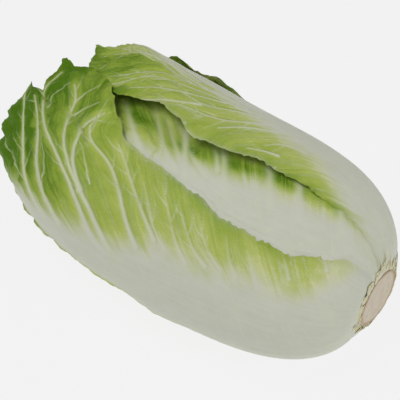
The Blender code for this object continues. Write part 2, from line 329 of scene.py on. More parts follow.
@dataclass
class Packing:
    """How deep the space under the leaves packed so far begins, over the whole head.

    "free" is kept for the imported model's solids and "cover" for the thin leaves that stand for them.
    """

    rows: int = 181
    step: float = 2.0
    gap: float = 1.2 * MM
    spread: tuple[int, int] = (8, 14)  # how many cells a solid's depths spread, and their smoothings
    edge: float = 1.2 * MM
    blade: float = 2.8 * MM
    rib: tuple[float, float] = (8.5 * MM, 3.0 * MM)  # a midrib's thickness at the base and at the tip
    rib_width: tuple[float, float] = (36.0, 8.0)  # its half-width there, in degrees
    taper: float = 16.0  # over how many degrees a leaf thins towards its edges
    close_gap: float = 0.1 * MM
    close_spread: tuple[int, int] = (1, 4)
    sheet_edge: float = 0.06 * MM
    sheet_blade: float = 1.5 * MM
    skirt: float = 5.0  # how far beyond a thin leaf's edges the next one stays under it, in degrees

    def __post_init__(self) -> None:
        """Lays out the empty field."""
        self.along = np.linspace(0.0, 1.0, self.rows)[:, None]
        self.angle = np.arange(-180.0, 180.0, self.step)[None, :]
        self.free = np.full((self.rows, self.angle.shape[1]), -0.03)
        self.cover = self.free.copy()

    @staticmethod
    def neighbours(values: np.ndarray) -> np.ndarray:
        """Shifts a field by one cell each way, closed round the axis and not along it.

        Args:
            values: The field.

        Returns:
            The field and its four shifted copies.
        """
        before = np.vstack([values[:1], values[:-1]])
        after = np.vstack([values[1:], values[-1:]])
        return np.stack([values, before, after, np.roll(values, 1, axis=1), np.roll(values, -1, axis=1)])

    def pushed(self, values: np.ndarray, spread: tuple[int, int]) -> np.ndarray:
        """Spreads the deepest values of a field and smooths it, so that a piece can follow it.

        Args:
            values: The field.
            spread: How many cells the deepest values spread, and how often the field is smoothed.

        Returns:
            The field.
        """
        for _ in range(spread[0]):
            values = np.max(self.neighbours(values), axis=0)
        for _ in range(spread[1]):
            values = np.mean(self.neighbours(values), axis=0)
        return values

    def settle(self, wished: np.ndarray) -> np.ndarray:
        """The depths of a solid's outside, pushed under the solids that are already there."""
        return self.pushed(np.maximum(self.free + self.gap, wished), self.spread)

    def snuggle(self, wished: np.ndarray) -> np.ndarray:
        """The depths of a thin leaf that lies up against the thin leaves over it."""
        return self.pushed(np.maximum(self.cover + self.close_gap, wished), self.close_spread)

    def add(self, leaf: LeafPlan) -> tuple[np.ndarray, np.ndarray]:
        """Packs a leaf.

        Args:
            leaf: The leaf's outline and lie.

        Returns:
            The depths of its outside, and of the inside of the leaves over it.
        """
        side, off = leaf.side(self.along, self.angle)
        sink = np.where(side < 0, through(leaf.low_sink, self.along), through(leaf.high_sink, self.along))
        swells = leaf.spotted((*leaf.swells, CUT_LEAN), self.along, off)
        wished = through(leaf.depth, self.along) + sink * ease((np.abs(side) - 0.35) / 0.65) - swells
        over = self.cover.copy()
        solid, thin = self.settle(wished), self.snuggle(wished)
        _, low, high = leaf.edges(self.along)
        half, end = (high - low) / 2, through(leaf.end, side)
        inward = ease((1 - np.minimum(np.abs(side), 1)) * half / self.taper)
        fleshy = self.fleshy(self.along, off)
        covered = (np.abs(side) <= 1.0) & (self.along <= end + 0.01)
        inside = solid + between((self.edge, self.blade), inward) + fleshy
        self.free = np.where(covered, np.maximum(self.free, inside), self.free)
        near = (np.abs(side) <= 1 + self.skirt / half) & (self.along <= end + 0.02)
        under = thin + between((self.sheet_edge, self.sheet_blade), inward) + fleshy
        under = np.where(covered, under, thin - self.sheet_edge)
        self.cover = np.where(near, np.maximum(self.cover, under), self.cover)
        return thin, over

    def fleshy(self, along: np.ndarray, off: np.ndarray) -> np.ndarray:
        """How much thicker than its blade a leaf is at its midrib."""
        rise = between(self.rib, along) - self.blade
        return rise * np.clip(1 - (off / between(self.rib_width, along)) ** 2, 0, 1)

    def read(self, values: np.ndarray, along: np.ndarray, angle: np.ndarray) -> np.ndarray:
        """Reads a field between its cells with a cubic B-spline, which leaves no facets.

        Args:
            values: The field.
            along: Places along the head.
            angle: Degrees round the axis.

        Returns:
            The field's values there.
        """
        row = np.clip(along, 0.0, 1.0) * (self.rows - 1)
        column = (angle + 180.0) / self.step
        r, c = np.floor(row).astype(int), np.floor(column).astype(int)
        total = np.zeros(row.shape)
        for i, row_share in enumerate(cubic_shares(row - r)):
            near = np.clip(r + i - 1, 0, self.rows - 1)
            for j, column_share in enumerate(cubic_shares(column - c)):
                total += values[near, (c + j - 1) % values.shape[1]] * row_share * column_share
        return total


# Veins


@dataclass
class Vein:
    """One vein: its course over the head and how its half-width and strength run out along it."""

    path: np.ndarray
    width: tuple[float, float]
    strength: tuple[float, float]
    # how strong the crease on one side of it is: a groove, with painted shade in it
    crease: float = 0.0
    main: bool = False


@dataclass
class VeinNetwork:
    """The veins of one leaf: main veins from the midrib, and side veins between them."""

    leaf: LeafPlan
    fine_width: tuple[float, float] = (0.7 * MM, 0.35 * MM)
    fine_strength: tuple[float, float] = (0.85, 0.4)
    side_width: tuple[float, float] = (0.55 * MM, 0.28 * MM)
    stride: float = 2.5 * MM
    side_stride: float = 2.0 * MM
    longest: float = 150 * MM
    steepest: float = 84.0
    side_angle: float = 38.0
    inset: float = 6.0  # how far inside the white midrib a main vein starts, in degrees
    start_scatter: float = 0.011
    lean_scatter: float = 7.0
    curl: float = 0.45  # degrees that a main vein turns outwards for each millimetre
    straight: float = 26.0  # millimetres before it starts to turn
    easing: int = 5  # how many times a given course is smoothed
    lead: int = 4  # how many points a guide has before its vein leaves the midrib
    guide_step: float = 0.04  # between the added guides at the base, along the head

    def build(self) -> list[Vein]:
        """Makes all the veins of the leaf.

        Returns:
            The main veins and then the smaller ones.
        """
        draw = np.random.default_rng(self.leaf.seed)
        mains = [self.given(path, self.leaf.vein_width, draw) for path in self.leaf.veins]
        for edge, starts in self.leaf.vein_starts.items():
            mains += [self.grown(edge, start, draw) for start in starts]
        sides = [side for main in mains for side in self.side_veins(main, draw)]
        for path in self.leaf.fine_veins:
            course = self.given(path, self.fine_width, draw).path
            sides.append(Vein(course, self.fine_width, self.fine_strength))
        return mains + sides

    def given(self, path: Pairs, width: tuple[float, float], draw: np.random.Generator) -> Vein:
        """Makes a main vein that follows its own course.

        Args:
            path: Its course.
            width: Its half-width at its start and end.
            draw: The leaf's random numbers.

        Returns:
            The vein.
        """
        points = np.array(path, float)
        leg = np.diff(points, axis=0) * [HEAD.length, math.radians(HEAD.radius)]
        run = np.concatenate([[0.0], np.cumsum(np.linalg.norm(leg, axis=1))])
        at = np.linspace(0.0, run[-1], max(4, int(run[-1] / self.stride)))
        course = np.stack([spline(list(zip(run, points[:, k])), at) for k in (0, 1)], -1)
        for _ in range(self.easing):
            course[1:-1] = (course[:-2] + 2 * course[1:-1] + course[2:]) / 4
        late = float(ease((points[0, 0] - self.leaf.firm_from) / 0.1))
        wide = width[0] * (0.62 + 0.38 * late)
        crease = draw.uniform(0.3, 1.0) * (0.3 + 0.7 * late) * self.leaf.creases
        return Vein(course, (wide, width[1]), (0.8 + 0.2 * late, 0.2 + 0.55 * late), crease, True)

    @staticmethod
    def radius_near(along: float) -> float:
        """The head's radius, held clear of 0 at its ends."""
        return max(float(HEAD.radius_at(along)), 0.02)

    def grown(self, edge: Edge, start: float, draw: np.random.Generator) -> Vein:
        """Grows a main vein from the midrib to the leaf's edge or end.

        Args:
            edge: The edge that it runs to.
            start: Where it leaves the midrib.
            draw: The leaf's random numbers.

        Returns:
            The vein.
        """
        rib = self.leaf.rib_low if edge is Edge.LOW else self.leaf.rib_high
        start = start + draw.uniform(-self.start_scatter, self.start_scatter)
        lean = float(through(self.leaf.vein_lean[edge], start))
        lean += draw.uniform(-self.lean_scatter, self.lean_scatter)
        along, angle = start, float(through(rib, start)) - edge.value * self.inset
        path, travelled = [], 0.0
        while travelled < self.longest:
            path.append((along, angle))
            side, _ = self.leaf.side(along, angle)
            if abs(float(side)) > 1.0 or along > float(through(self.leaf.end, side)):
                break
            turned = lean + self.curl * max(0.0, travelled / MM - self.straight)
            heading = math.radians(min(turned, self.steepest))
            along += self.stride * math.cos(heading) / HEAD.length
            angle += edge.value * math.degrees(self.stride * math.sin(heading) / self.radius_near(along))
            travelled += self.stride
        wide = self.leaf.vein_width[0] * (0.4 + 0.5 * min(1.0, travelled / (60 * MM)))
        width = (wide, self.leaf.vein_width[1] * 0.8)
        return Vein(np.array(path), width, (draw.uniform(0.5, 1.0), 0.3), draw.uniform(0.0, 0.5), True)

    def side_veins(self, main: Vein, draw: np.random.Generator) -> list[Vein]:
        """Grows side veins off both sides of a main vein, by turns.

        Args:
            main: The main vein.
            draw: The leaf's random numbers.

        Returns:
            The side veins.
        """
        veins = []
        count = len(main.path)
        at = int(count * 0.3) + int(draw.integers(0, 3))
        hand = 1 if draw.random() < 0.5 else -1
        while at < count - 2:
            here, ahead = main.path[at], main.path[min(at + 2, count - 1)]
            radius = self.radius_near(here[0])
            course = math.atan2(math.radians(ahead[1] - here[1]) * radius, (ahead[0] - here[0]) * HEAD.length)
            bearing = course + hand * math.radians(self.side_angle + draw.uniform(-10, 10))
            bend = -hand * draw.uniform(0.5, 4.0) / 100
            path = [tuple(here)]
            for _ in range(int(draw.integers(4, 11))):
                along = path[-1][0] + self.side_stride * math.cos(bearing) / HEAD.length
                turned = math.degrees(self.side_stride * math.sin(bearing) / radius)
                path.append((along, path[-1][1] + turned))
                bearing += bend * self.stride / MM
            veins.append(Vein(np.array(path), self.side_width, (draw.uniform(0.4, 0.75), 0.08)))
            at += max(2, int(draw.normal(self.leaf.side_spacing, 5 * MM) / self.stride))
            hand = -hand
        return veins

    def flow(self, veins: Sequence[Vein], along: np.ndarray, angle: np.ndarray) -> np.ndarray:
        """Follows the main veins back to the midrib.

        Args:
            veins: The leaf's veins.
            along: Places along the head.
            angle: Degrees round the axis.

        Returns:
            How far along the head a vein through each place would leave the midrib, in metres.
        """
        radius = HEAD.radius_at(along)
        hand = np.sign(angle - (spline(self.leaf.rib_low, along) + spline(self.leaf.rib_high, along)) / 2)
        total, weight = along * 0, along * 0 + 1e-6
        for path, side in self.guides(veins):
            run = (along[..., None] - path[:, 0]) * HEAD.length
            across = np.radians(angle[..., None] - path[:, 1]) * radius[..., None]
            near = np.min(run**2 + across**2, axis=-1)
            share = (hand == side) / (near + (3 * MM) ** 2) ** 1.5
            total, weight = total + share * path[self.lead, 0] * HEAD.length, weight + share
        return total / weight

    def guides(self, veins: Sequence[Vein]) -> list[tuple[np.ndarray, float]]:
        """Courses that the whole blade follows: the main veins made longer, and more of them at the base.

        Args:
            veins: The leaf's veins.

        Returns:
            Each course, and which side of the midrib it is on.
        """
        made: list[tuple[np.ndarray, float]] = []
        for vein in veins:
            path = vein.path[::2]
            low, high = spline(self.leaf.rib_low, path[0, 0]), spline(self.leaf.rib_high, path[0, 0])
            if not vein.main or len(path) < 4 or not low - 12 < path[0, 1] < high + 12:
                continue
            back = (path[0] - path[3]) / 3 * np.arange(self.lead, 0, -1)[:, None]
            ahead = (path[-1] - path[-4]) / 3 * np.arange(1, 4)[:, None]
            whole = np.vstack([path[0] + back, path, path[-1] + ahead])
            made.append((whole, float(np.sign(path[0, 1] - (low + high) / 2))))
        for side, rib in ((-1.0, self.leaf.rib_low), (1.0, self.leaf.rib_high)):
            first = min((path for path, hand in made if hand == side), key=lambda path: path[self.lead, 0])
            start = first[self.lead, 0]
            for down in np.arange(self.guide_step, start - 0.03, self.guide_step):
                made.append((first - [down, spline(rib, start) - spline(rib, start - down)], side))
        return made


@dataclass
class VeinMaps:
    """What a leaf's veins do at each of its points."""

    pale: np.ndarray
    # a groove beside each main vein, and the painted shade in it
    crease: np.ndarray
    nearest: np.ndarray
    height: np.ndarray
    web: np.ndarray  # metres to the nearest main vein

    REACH = 12 * MM
    LEAST_RADIUS = 30 * MM  # of the head, where its veins run

    @classmethod
    def of(cls, veins: Sequence[Vein], along: np.ndarray, angle: np.ndarray) -> "VeinMaps":
        """Measures every point against every vein.

        Args:
            veins: The leaf's veins.
            along: The points' places along the head.
            angle: The points' degrees round the axis.

        Returns:
            The maps over the same points.
        """
        points = (along * HEAD.length).ravel(), np.radians(angle).ravel(), HEAD.radius_at(along).ravel()
        none, far = np.zeros(along.size), np.full(along.size, cls.REACH)
        maps = cls(none, none.copy(), far, none.copy(), far.copy())
        for vein in veins:
            maps.trace(vein, *points)
        return cls(**{key: values.reshape(along.shape) for key, values in vars(maps).items()})

    def trace(self, vein: Vein, u: np.ndarray, turn: np.ndarray, radius: np.ndarray) -> None:
        """Adds one vein to the maps.

        Args:
            vein: The vein.
            u: The points' metres along the head.
            turn: The points' radians round the axis.
            radius: The head's radius at the points.
        """
        course_u, course_turn = vein.path[:, 0] * HEAD.length, np.radians(vein.path[:, 1])
        reach, wide = self.REACH, self.REACH / self.LEAST_RADIUS
        inside = (u > course_u.min() - reach) & (u < course_u.max() + reach)
        inside &= (turn > course_turn.min() - wide) & (turn < course_turn.max() + wide)
        local = np.nonzero(inside)[0]
        count = len(course_u) - 1
        for k in range(count):
            near = local[np.abs(u[local] - (course_u[k] + course_u[k + 1]) / 2) < reach + 2 * MM]
            if not len(near):
                continue
            du, dt = u[near] - course_u[k], (turn[near] - course_turn[k]) * radius[near]
            leg_u, leg_t = course_u[k + 1] - course_u[k], (course_turn[k + 1] - course_turn[k]) * radius[near]
            size = np.hypot(leg_u, leg_t) + 1e-9
            share = np.clip((du * leg_u + dt * leg_t) / size**2, 0.0, 1.0)
            off = np.hypot(du - share * leg_u, dt - share * leg_t)
            hand = np.sign(du * leg_t - dt * leg_u)
            run = (k + share) / count
            width, strength = between(vein.width, run**0.6), between(vein.strength, run)
            body = strength * bell(off / width)
            # a line just off one side of the vein, for a groove and the painted shade in it
            beside = (off * hand - 1.0 * width - 0.5 * MM) / (0.3 * width + 0.5 * MM)
            self.raised(self.pale, near, body)
            self.raised(self.height, near, body * np.minimum(width / (1.6 * MM), 1.0))
            self.raised(self.crease, near, vein.crease * strength * bell(beside))
            self.nearest[near] = np.minimum(self.nearest[near], off + (1 - strength) * 2 * MM)
            if vein.main:
                self.web[near] = np.minimum(self.web[near], off)

    @staticmethod
    def raised(held: np.ndarray, near: np.ndarray, values: np.ndarray) -> None:
        """Raises some points of a map to new values where those are higher."""
        held[near] = np.maximum(held[near], values)


# Node graphs


@dataclass
class Value:
    """A socket of a node graph that Python's operators work on."""

    graph: "Graph"
    socket: Any

    def maths(self, operation: str, *others: Any) -> "Value":
        """Adds a Math node on this value and others."""
        return self.graph.maths(operation, self, *others)

    def __add__(self, other: Any) -> "Value":
        """Adds."""
        return self.maths("ADD", other)

    __radd__ = __add__

    def __sub__(self, other: Any) -> "Value":
        """Subtracts."""
        return self.maths("SUBTRACT", other)

    def __rsub__(self, other: Any) -> "Value":
        """Subtracts from a number."""
        return self.graph.maths("SUBTRACT", other, self)

    def __mul__(self, other: Any) -> "Value":
        """Multiplies."""
        return self.maths("MULTIPLY", other)

    __rmul__ = __mul__

    def __truediv__(self, other: Any) -> "Value":
        """Divides."""
        return self.maths("DIVIDE", other)

    def limited(self) -> "Value":
        """Holds the value between 0 and 1."""
        return self.maths("MINIMUM", 1.0).maths("MAXIMUM", 0.0)

    def between(self, low: float, high: float) -> "Value":
        """Stretches the span from low to high over 0 to 1, and holds it there."""
        return ((self - low) / (high - low)).limited()


@dataclass
class Graph:
    """A shader or geometry node tree that nodes are added to."""

    tree: Any

    def node(
        self, kind: str, settings: dict[str, Any] | None = None, inputs: dict[Any, Any] | None = None
    ) -> Any:
        """Adds a node.

        Args:
            kind: The node's type.
            settings: Its properties. A ramp's "stops" are pairs of place and colour.
            inputs: A value or a link for each of its input sockets, by name or index.

        Returns:
            The node.
        """
        made = self.tree.nodes.new(kind)
        for key, setting in (settings or {}).items():
            if key == "stops":
                self.set_stops(made.color_ramp, setting)
            else:
                setattr(made, key, setting)
        for key, given in (inputs or {}).items():
            if isinstance(given, Value):
                self.tree.links.new(given.socket, made.inputs[key])
            else:
                made.inputs[key].default_value = given
        return made

    @staticmethod
    def set_stops(ramp: Any, stops: Sequence[tuple[float, Colour]]) -> None:
        """Sets a colour ramp's stops.

        Args:
            ramp: The ramp.
            stops: Each stop's place and colour.
        """
        while len(ramp.elements) < len(stops):
            ramp.elements.new(0.5)
        for element, (at, colour) in zip(ramp.elements, stops):
            element.position, element.color = at, (*colour, 1.0)

    def value(self, kind: str, output: Any = 0, settings: Any = None, inputs: Any = None) -> Value:
        """Adds a node and gives one of its outputs."""
        return Value(self, self.node(kind, settings, inputs).outputs[output])

    def maths(self, operation: str, *terms: Any) -> Value:
        """Adds a Math node."""
        return self.value("ShaderNodeMath", 0, {"operation": operation}, dict(enumerate(terms)))

    def mix(self, share: Any, first: Any, second: Any) -> Value:
        """Mixes two colours."""
        ends = [end if isinstance(end, Value) else (*end, 1.0) for end in (first, second)]
        return self.value("ShaderNodeMix", 2, {"data_type": "RGBA"}, {0: share, 6: ends[0], 7: ends[1]})

    def attribute(self, name: str) -> Value:
        """Reads a number that the mesh stores at its points."""
        return self.value("ShaderNodeAttribute", "Fac", {"attribute_name": name})

    def noise(self, place: Value, scale: float, detail: float = 2.0, roughness: float = 0.5) -> Value:
        """Adds a noise texture, whose features are 1 / scale across."""
        inputs = {"Vector": place, "Scale": scale, "Detail": detail, "Roughness": roughness}
        return self.value("ShaderNodeTexNoise", "Fac", None, inputs)

    def stretched(self, place: Value, scale: tuple[float, float, float]) -> Value:
        """Scales coordinates by different amounts along each axis."""
        return self.value("ShaderNodeMapping", 0, None, {"Vector": place, "Scale": scale})

    def bump(self, height: Value, strength: float, distance: float) -> Value:
        """Turns heights into a normal."""
        inputs = {"Strength": strength, "Distance": distance, "Height": height}
        return self.value("ShaderNodeBump", 0, None, inputs)


@dataclass(frozen=True)
class Finish:
    """What every finish has: a name and the settings that are the same all over the surface."""

    name: str
    subsurface: float = 0.0
    subsurface_reach: float = 3 * MM
    specular: float = 0.12

    def make(self) -> Any:
        """Builds the material.

        Returns:
            The material.
        """
        material = bpy.data.materials.new(self.name)
        material.use_nodes = True
        shader = material.node_tree.nodes["Principled BSDF"]
        shader.inputs["Specular IOR Level"].default_value = self.specular
        shader.inputs["Subsurface Weight"].default_value = self.subsurface
        shader.inputs["Subsurface Radius"].default_value = (1.0, 1.0, 0.4)
        shader.inputs["Subsurface Scale"].default_value = self.subsurface_reach
        graph = Graph(material.node_tree)
        for name, given in self.paint(graph, shader).items():
            graph.tree.links.new(given.socket, shader.inputs[name])
        return material

    def paint(self, graph: Graph, shader: Any) -> dict[str, Value]:
        """Works out what varies over the surface.

        Args:
            graph: The material's nodes.
            shader: Its Principled shader, for values that don't vary.

        Returns:
            A value for each of the shader's sockets that varies, by the socket's name.
        """
        raise NotImplementedError


@dataclass(frozen=True)
class LeafFinish(Finish):
    """A leaf: a white fleshy midrib that runs out into a veined green blade, with painted shade beside its
    veins.
    """

    subsurface: float = 0.12
    rib: Colour = (0.72, 0.735, 0.62)
    rib_shade: Colour = (0.66, 0.68, 0.55)
    greens: Sequence[tuple[float, Colour]] = (
        (0.0, (0.75, 0.765, 0.42)),
        (0.3, (0.51, 0.595, 0.14)),
        (0.62, (0.34, 0.465, 0.06)),
        (1.0, (0.095, 0.215, 0.006)),
    )
    vein: Colour = (0.74, 0.79, 0.46)
    # painted shade: the dark green put in the creases beside the veins and in the heart's folds
    crease: Colour = (0.14, 0.24, 0.010)
    scar: Colour = (0.76, 0.72, 0.44)

    def paint(self, graph: Graph, shader: Any) -> dict[str, Value]:
        """Paints the leaf from what its mesh stores at its points.

        Args:
            graph: The material's nodes.
            shader: Its Principled shader.

        Returns:
            The values that vary, by the name of their socket.
        """
        flat = graph.value("ShaderNodeUVMap", 0, {"uv_map": "leaf_plane"})
        course = graph.value("ShaderNodeUVMap", 0, {"uv_map": "vein_flow"})
        blade, tone = graph.attribute("blade"), graph.attribute("tone")
        mottle = graph.noise(flat, 70.0, 3.0, 0.6)
        speckle = graph.noise(flat, 900.0, 2.0)
        fibres = graph.noise(graph.stretched(flat, (25.0, 420.0, 1.0)), 1.0, 3.0, 0.6)
        streaks = graph.noise(graph.stretched(course, (430.0, 24.0, 1.0)), 1.0, 4.0, 0.65) - 0.5
        tone = tone + (mottle - 0.5) * 0.35 + (speckle - 0.5) * 0.2 + streaks * 0.9
        blade = (blade + streaks * blade * (1.0 - blade) * 5.0).limited()
        green = graph.value("ShaderNodeValToRGB", 0, {"stops": self.greens}, {"Fac": tone.limited()})
        white = graph.mix((fibres * 0.5 + mottle * 0.5).between(0.35, 0.7), self.rib, self.rib_shade)
        colour = graph.mix(blade, white, green)
        pale = graph.mix(tone.limited(), self.rib, self.vein)
        colour = graph.mix(streaks.between(0.03, 0.15) * (1.15 - tone * 1.3).limited() * 0.85, colour, pale)
        # painted shade in the creases beside the main veins and at the bottom of the heart's folds
        colour = graph.mix((graph.attribute("crease") * blade * 0.8).limited(), colour, self.crease)
        colour = graph.mix((graph.attribute("vein") * 1.1).limited(), colour, pale)
        bruise = (graph.attribute("scar") + (speckle - 0.5) * 0.8).between(0.3, 0.9)
        colour = graph.mix(bruise * 0.6, colour, self.scar)
        height = (streaks * 1.2 + (speckle - 0.5) * 0.3) * blade + (fibres - 0.5) * 0.2 * (1.0 - blade)
        roughness = 0.5 + 0.1 * blade + (mottle - 0.5) * 0.1
        return {"Base Color": colour, "Roughness": roughness, "Normal": graph.bump(height, 0.5, 0.35 * MM)}


@dataclass(frozen=True)
class CutStemFinish(Finish):
    """The cut butt: moist pinkish flesh, browned where it has dried at the rim."""

    subsurface: float = 0.1
    flesh: Colour = (0.70, 0.58, 0.46)
    pale: Colour = (0.74, 0.68, 0.54)
    brown: Colour = (0.52, 0.34, 0.18)

    def paint(self, graph: Graph, shader: Any) -> dict[str, Value]:
        """Clouds the flesh and browns it towards the rim.

        Args:
            graph: The material's nodes.
            shader: Its Principled shader.

        Returns:
            The values that vary, by the name of their socket.
        """
        place = graph.value("ShaderNodeTexCoord", "Object")
        cloud = graph.noise(place, 140.0, 4.0, 0.6)
        grain = graph.noise(place, 900.0, 3.0, 0.6)
        colour = graph.mix(cloud.between(0.3, 0.7), self.flesh, self.pale)
        dried = (graph.attribute("rim") + (cloud - 0.5) * 0.9).between(0.45, 1.0)
        colour = graph.mix(dried * 0.8, colour, self.brown)
        normal = graph.bump(grain * 0.5 + cloud * 0.5, 0.6, 0.4 * MM)
        return {"Base Color": colour, "Roughness": 0.55 + (grain - 0.5) * 0.2, "Normal": normal}


@dataclass(frozen=True)
class FibreFinish(Finish):
    """The ragged ends of leaf bases and vessels round the cut, straw yellow to brown."""

    subsurface: float = 0.1
    straw: Colour = (0.82, 0.80, 0.62)
    tan: Colour = (0.72, 0.68, 0.36)

    def paint(self, graph: Graph, shader: Any) -> dict[str, Value]:
        """Clouds the straw with tan.

        Args:
            graph: The material's nodes.
            shader: Its Principled shader.

        Returns:
            The values that vary, by the name of their socket.
        """
        cloud = graph.noise(graph.value("ShaderNodeTexCoord", "Object"), 260.0, 3.0, 0.6)
        colour = graph.mix(cloud.between(0.35, 0.65), self.straw, self.tan)
        return {"Base Color": colour, "Roughness": 0.6 + (cloud - 0.5) * 0.2}


@dataclass(frozen=True)
class FloorFinish(Finish):
    """A lit white sweep."""

    specular: float = 0.0
    tint: float = 0.05
    glow: float = 0.855

    def paint(self, graph: Graph, shader: Any) -> dict[str, Value]:
        """Sets the glow and a faint grain.

        Args:
            graph: The material's nodes.
            shader: Its Principled shader.

        Returns:
            The values that vary, by the name of their socket.
        """
        shader.inputs["Emission Color"].default_value = (1.0, 1.0, 1.0, 1.0)
        shader.inputs["Emission Strength"].default_value = self.glow
        grain = graph.noise(graph.value("ShaderNodeTexCoord", "Object"), 40.0)
        base = graph.mix(grain, (self.tint,) * 3, (self.tint * 1.02,) * 3)
        return {"Base Color": base, "Roughness": 0.9 + grain * 0.05}


# Geometry Nodes


class NodeTool:
    """A Geometry Nodes tree with named inputs, run on an object and turned into a plain mesh."""

    def __init__(self, name: str, inputs: dict[str, tuple[str, Any]]) -> None:
        """Starts the tree.

        Args:
            name: The tree's name.
            inputs: Each input's socket type and value, by name. A material is added to them.
        """
        self.tree = bpy.data.node_groups.new(name, "GeometryNodeTree")
        self.graph = Graph(self.tree)
        inputs = {**inputs, "Material": ("Material", None)}
        self.values = {key: given for key, (_, given) in inputs.items()}
        for key, kind in {"Geometry": "Geometry", **{key: kind for key, (kind, _) in inputs.items()}}.items():
            self.tree.interface.new_socket(name=key, in_out="INPUT", socket_type=f"NodeSocket{kind}")
        self.tree.interface.new_socket(name="Geometry", in_out="OUTPUT", socket_type="NodeSocketGeometry")
        self.group = self.tree.nodes.new("NodeGroupInput")

    def given(self, name: str) -> Value:
        """One of the tree's inputs."""
        return Value(self.graph, self.group.outputs[name])

    def end(self, geometry: Value) -> None:
        """Ends the tree in Realize Instances and Set Material.

        Args:
            geometry: What the tree has made.
        """
        whole = self.graph.value("GeometryNodeRealizeInstances", 0, None, {0: geometry})
        inputs = {"Geometry": whole, "Material": self.given("Material")}
        dressed = self.graph.value("GeometryNodeSetMaterial", 0, None, inputs)
        self.graph.node("NodeGroupOutput", None, {0: dressed})

    def apply(self, piece: Any, **changes: Any) -> None:
        """Runs the tree on an object and keeps the result as its mesh.

        Args:
            piece: The object.
            changes: Values that differ from the tree's own, named with underscores for spaces.
        """
        modifier = piece.modifiers.new(self.tree.name, "NODES")
        modifier.node_group = self.tree
        values = {**self.values, **{key.replace("_", " "): given for key, given in changes.items()}}
        for socket in self.tree.interface.items_tree:
            if socket.in_out == "INPUT" and socket.name in values:
                modifier[socket.identifier] = values[socket.name]
        evaluated = piece.evaluated_get(bpy.context.evaluated_depsgraph_get())
        result = bpy.data.meshes.new_from_object(evaluated)
        piece.modifiers.clear()
        old, piece.data = piece.data, result
        result.name = piece.name
        bpy.data.meshes.remove(old)


def crinkle_tool() -> NodeTool:
    """Fine relief over a leaf: shallow dents that follow its plane and leave its lower skin alone.

    Returns:
        The tool.
    """
    sizes = {"Depth": ("Float", 0.95 * MM), "Scale": ("Float", 240.0), "Seed": ("Float", 1.0)}
    tool = NodeTool("leaf_crinkle", sizes)
    graph, stored = tool.graph, "GeometryNodeInputNamedAttribute"
    plane = graph.value(stored, 0, {"data_type": "FLOAT_VECTOR"}, {"Name": "leaf_plane"})
    skin = graph.value(stored, 0, {"data_type": "FLOAT"}, {"Name": "skin"})
    inputs = {"Vector": plane, "W": tool.given("Seed"), "Scale": tool.given("Scale"), "Detail": 2.0}
    dents = graph.value("ShaderNodeTexNoise", "Fac", {"noise_dimensions": "4D"}, inputs)
    inputs = {0: graph.value("GeometryNodeInputNormal"), 3: (dents - 0.5) * tool.given("Depth") * skin}
    offset = graph.value("ShaderNodeVectorMath", 0, {"operation": "SCALE"}, inputs)
    inputs = {"Geometry": tool.given("Geometry"), "Offset": offset}
    tool.end(graph.value("GeometryNodeSetPosition", 0, None, inputs))
    return tool


def ring_tool() -> NodeTool:
    """Copies of a small piece set at random round a ring about the X axis, turned outwards from it.

    Returns:
        The tool.
    """
    sizes = {
        "Count": ("Int", 60),
        "Radius": ("Float", 20 * MM),
        "Spread": ("Float", 1 * MM),
        "Start": ("Float", 0.0),
        "Turn": ("Float", math.tau),
        "Centre": ("Vector", (0.0, 0.0, 0.0)),
        "Tilt": ("Float", 0.3),
        "Lean": ("Float", 0.0),
        "Lean Towards": ("Float", math.radians(CUT_LEAN[1])),
        "Droop": ("Float", 0.0),
        "Least Size": ("Float", 0.6),
        "Seed": ("Int", 1),
    }
    tool = NodeTool("ring_of_pieces", sizes)
    graph, given = tool.graph, tool.given

    def draw(low: Any, high: Any, salt: int) -> Value:
        """Draws a random number for each copy."""
        inputs = {2: low, 3: high, "Seed": given("Seed") + salt}
        return graph.value("FunctionNodeRandomValue", 1, {"data_type": "FLOAT"}, inputs)

    def combined(x: Any, y: Any, z: Any) -> Value:
        """Makes a vector."""
        return graph.value("ShaderNodeCombineXYZ", 0, None, {"X": x, "Y": y, "Z": z})

    step = given("Turn") / given("Count")
    turn = given("Start") + (graph.value("GeometryNodeInputIndex") + draw(-0.5, 0.5, 1)) * step
    radius = given("Radius") + draw(-1.0, 1.0, 2) * given("Spread")
    sine, cosine = turn.maths("SINE"), turn.maths("COSINE")
    leaning = (turn - given("Lean Towards")).maths("COSINE")
    ring = combined(leaning * radius * given("Lean"), sine * radius * -1.0, cosine * radius)
    place = graph.value("ShaderNodeVectorMath", 0, {"operation": "ADD"}, {0: ring, 1: given("Centre")})
    droop = (leaning - 1.0) * given("Droop")
    tilts = [draw(-1.0, 1.0, salt) * given("Tilt") for salt in (3, 4)]
    inputs = {
        "Points": graph.value("GeometryNodePoints", 0, None, {"Count": given("Count"), "Position": place}),
        "Instance": given("Geometry"),
        "Rotation": combined(turn, tilts[0] + droop * cosine, tilts[1] + droop * sine),
        "Scale": draw(given("Least Size"), 1.0, 5),
    }
    tool.end(graph.value("GeometryNodeInstanceOnPoints", 0, None, inputs))
    return tool


# Meshes


def new_piece(name: str, points: np.ndarray, faces: list[Sequence[int]]) -> Any:
    """Makes an object from points and faces, smooth all over.

    Args:
        name: The piece's name.
        points: Its points, in world metres.
        faces: Its faces, as point numbers.

    Returns:
        The object.
    """
    mesh = bpy.data.meshes.new(name)
    mesh.from_pydata(points, [], faces)
    mesh.shade_smooth()
    piece = bpy.data.objects.new(name, mesh)
    bpy.context.scene.collection.objects.link(piece)
    return piece


def store(mesh: Any, maps: dict[str, np.ndarray]) -> None:
    """Stores numbers at each point of a mesh.

    Args:
        mesh: The mesh.
        maps: The numbers, by the name that they are stored under.
    """
    for name, values in maps.items():
        layer = mesh.attributes.new(name, "FLOAT", "POINT")
        layer.data.foreach_set("value", values.astype(np.float32).ravel())


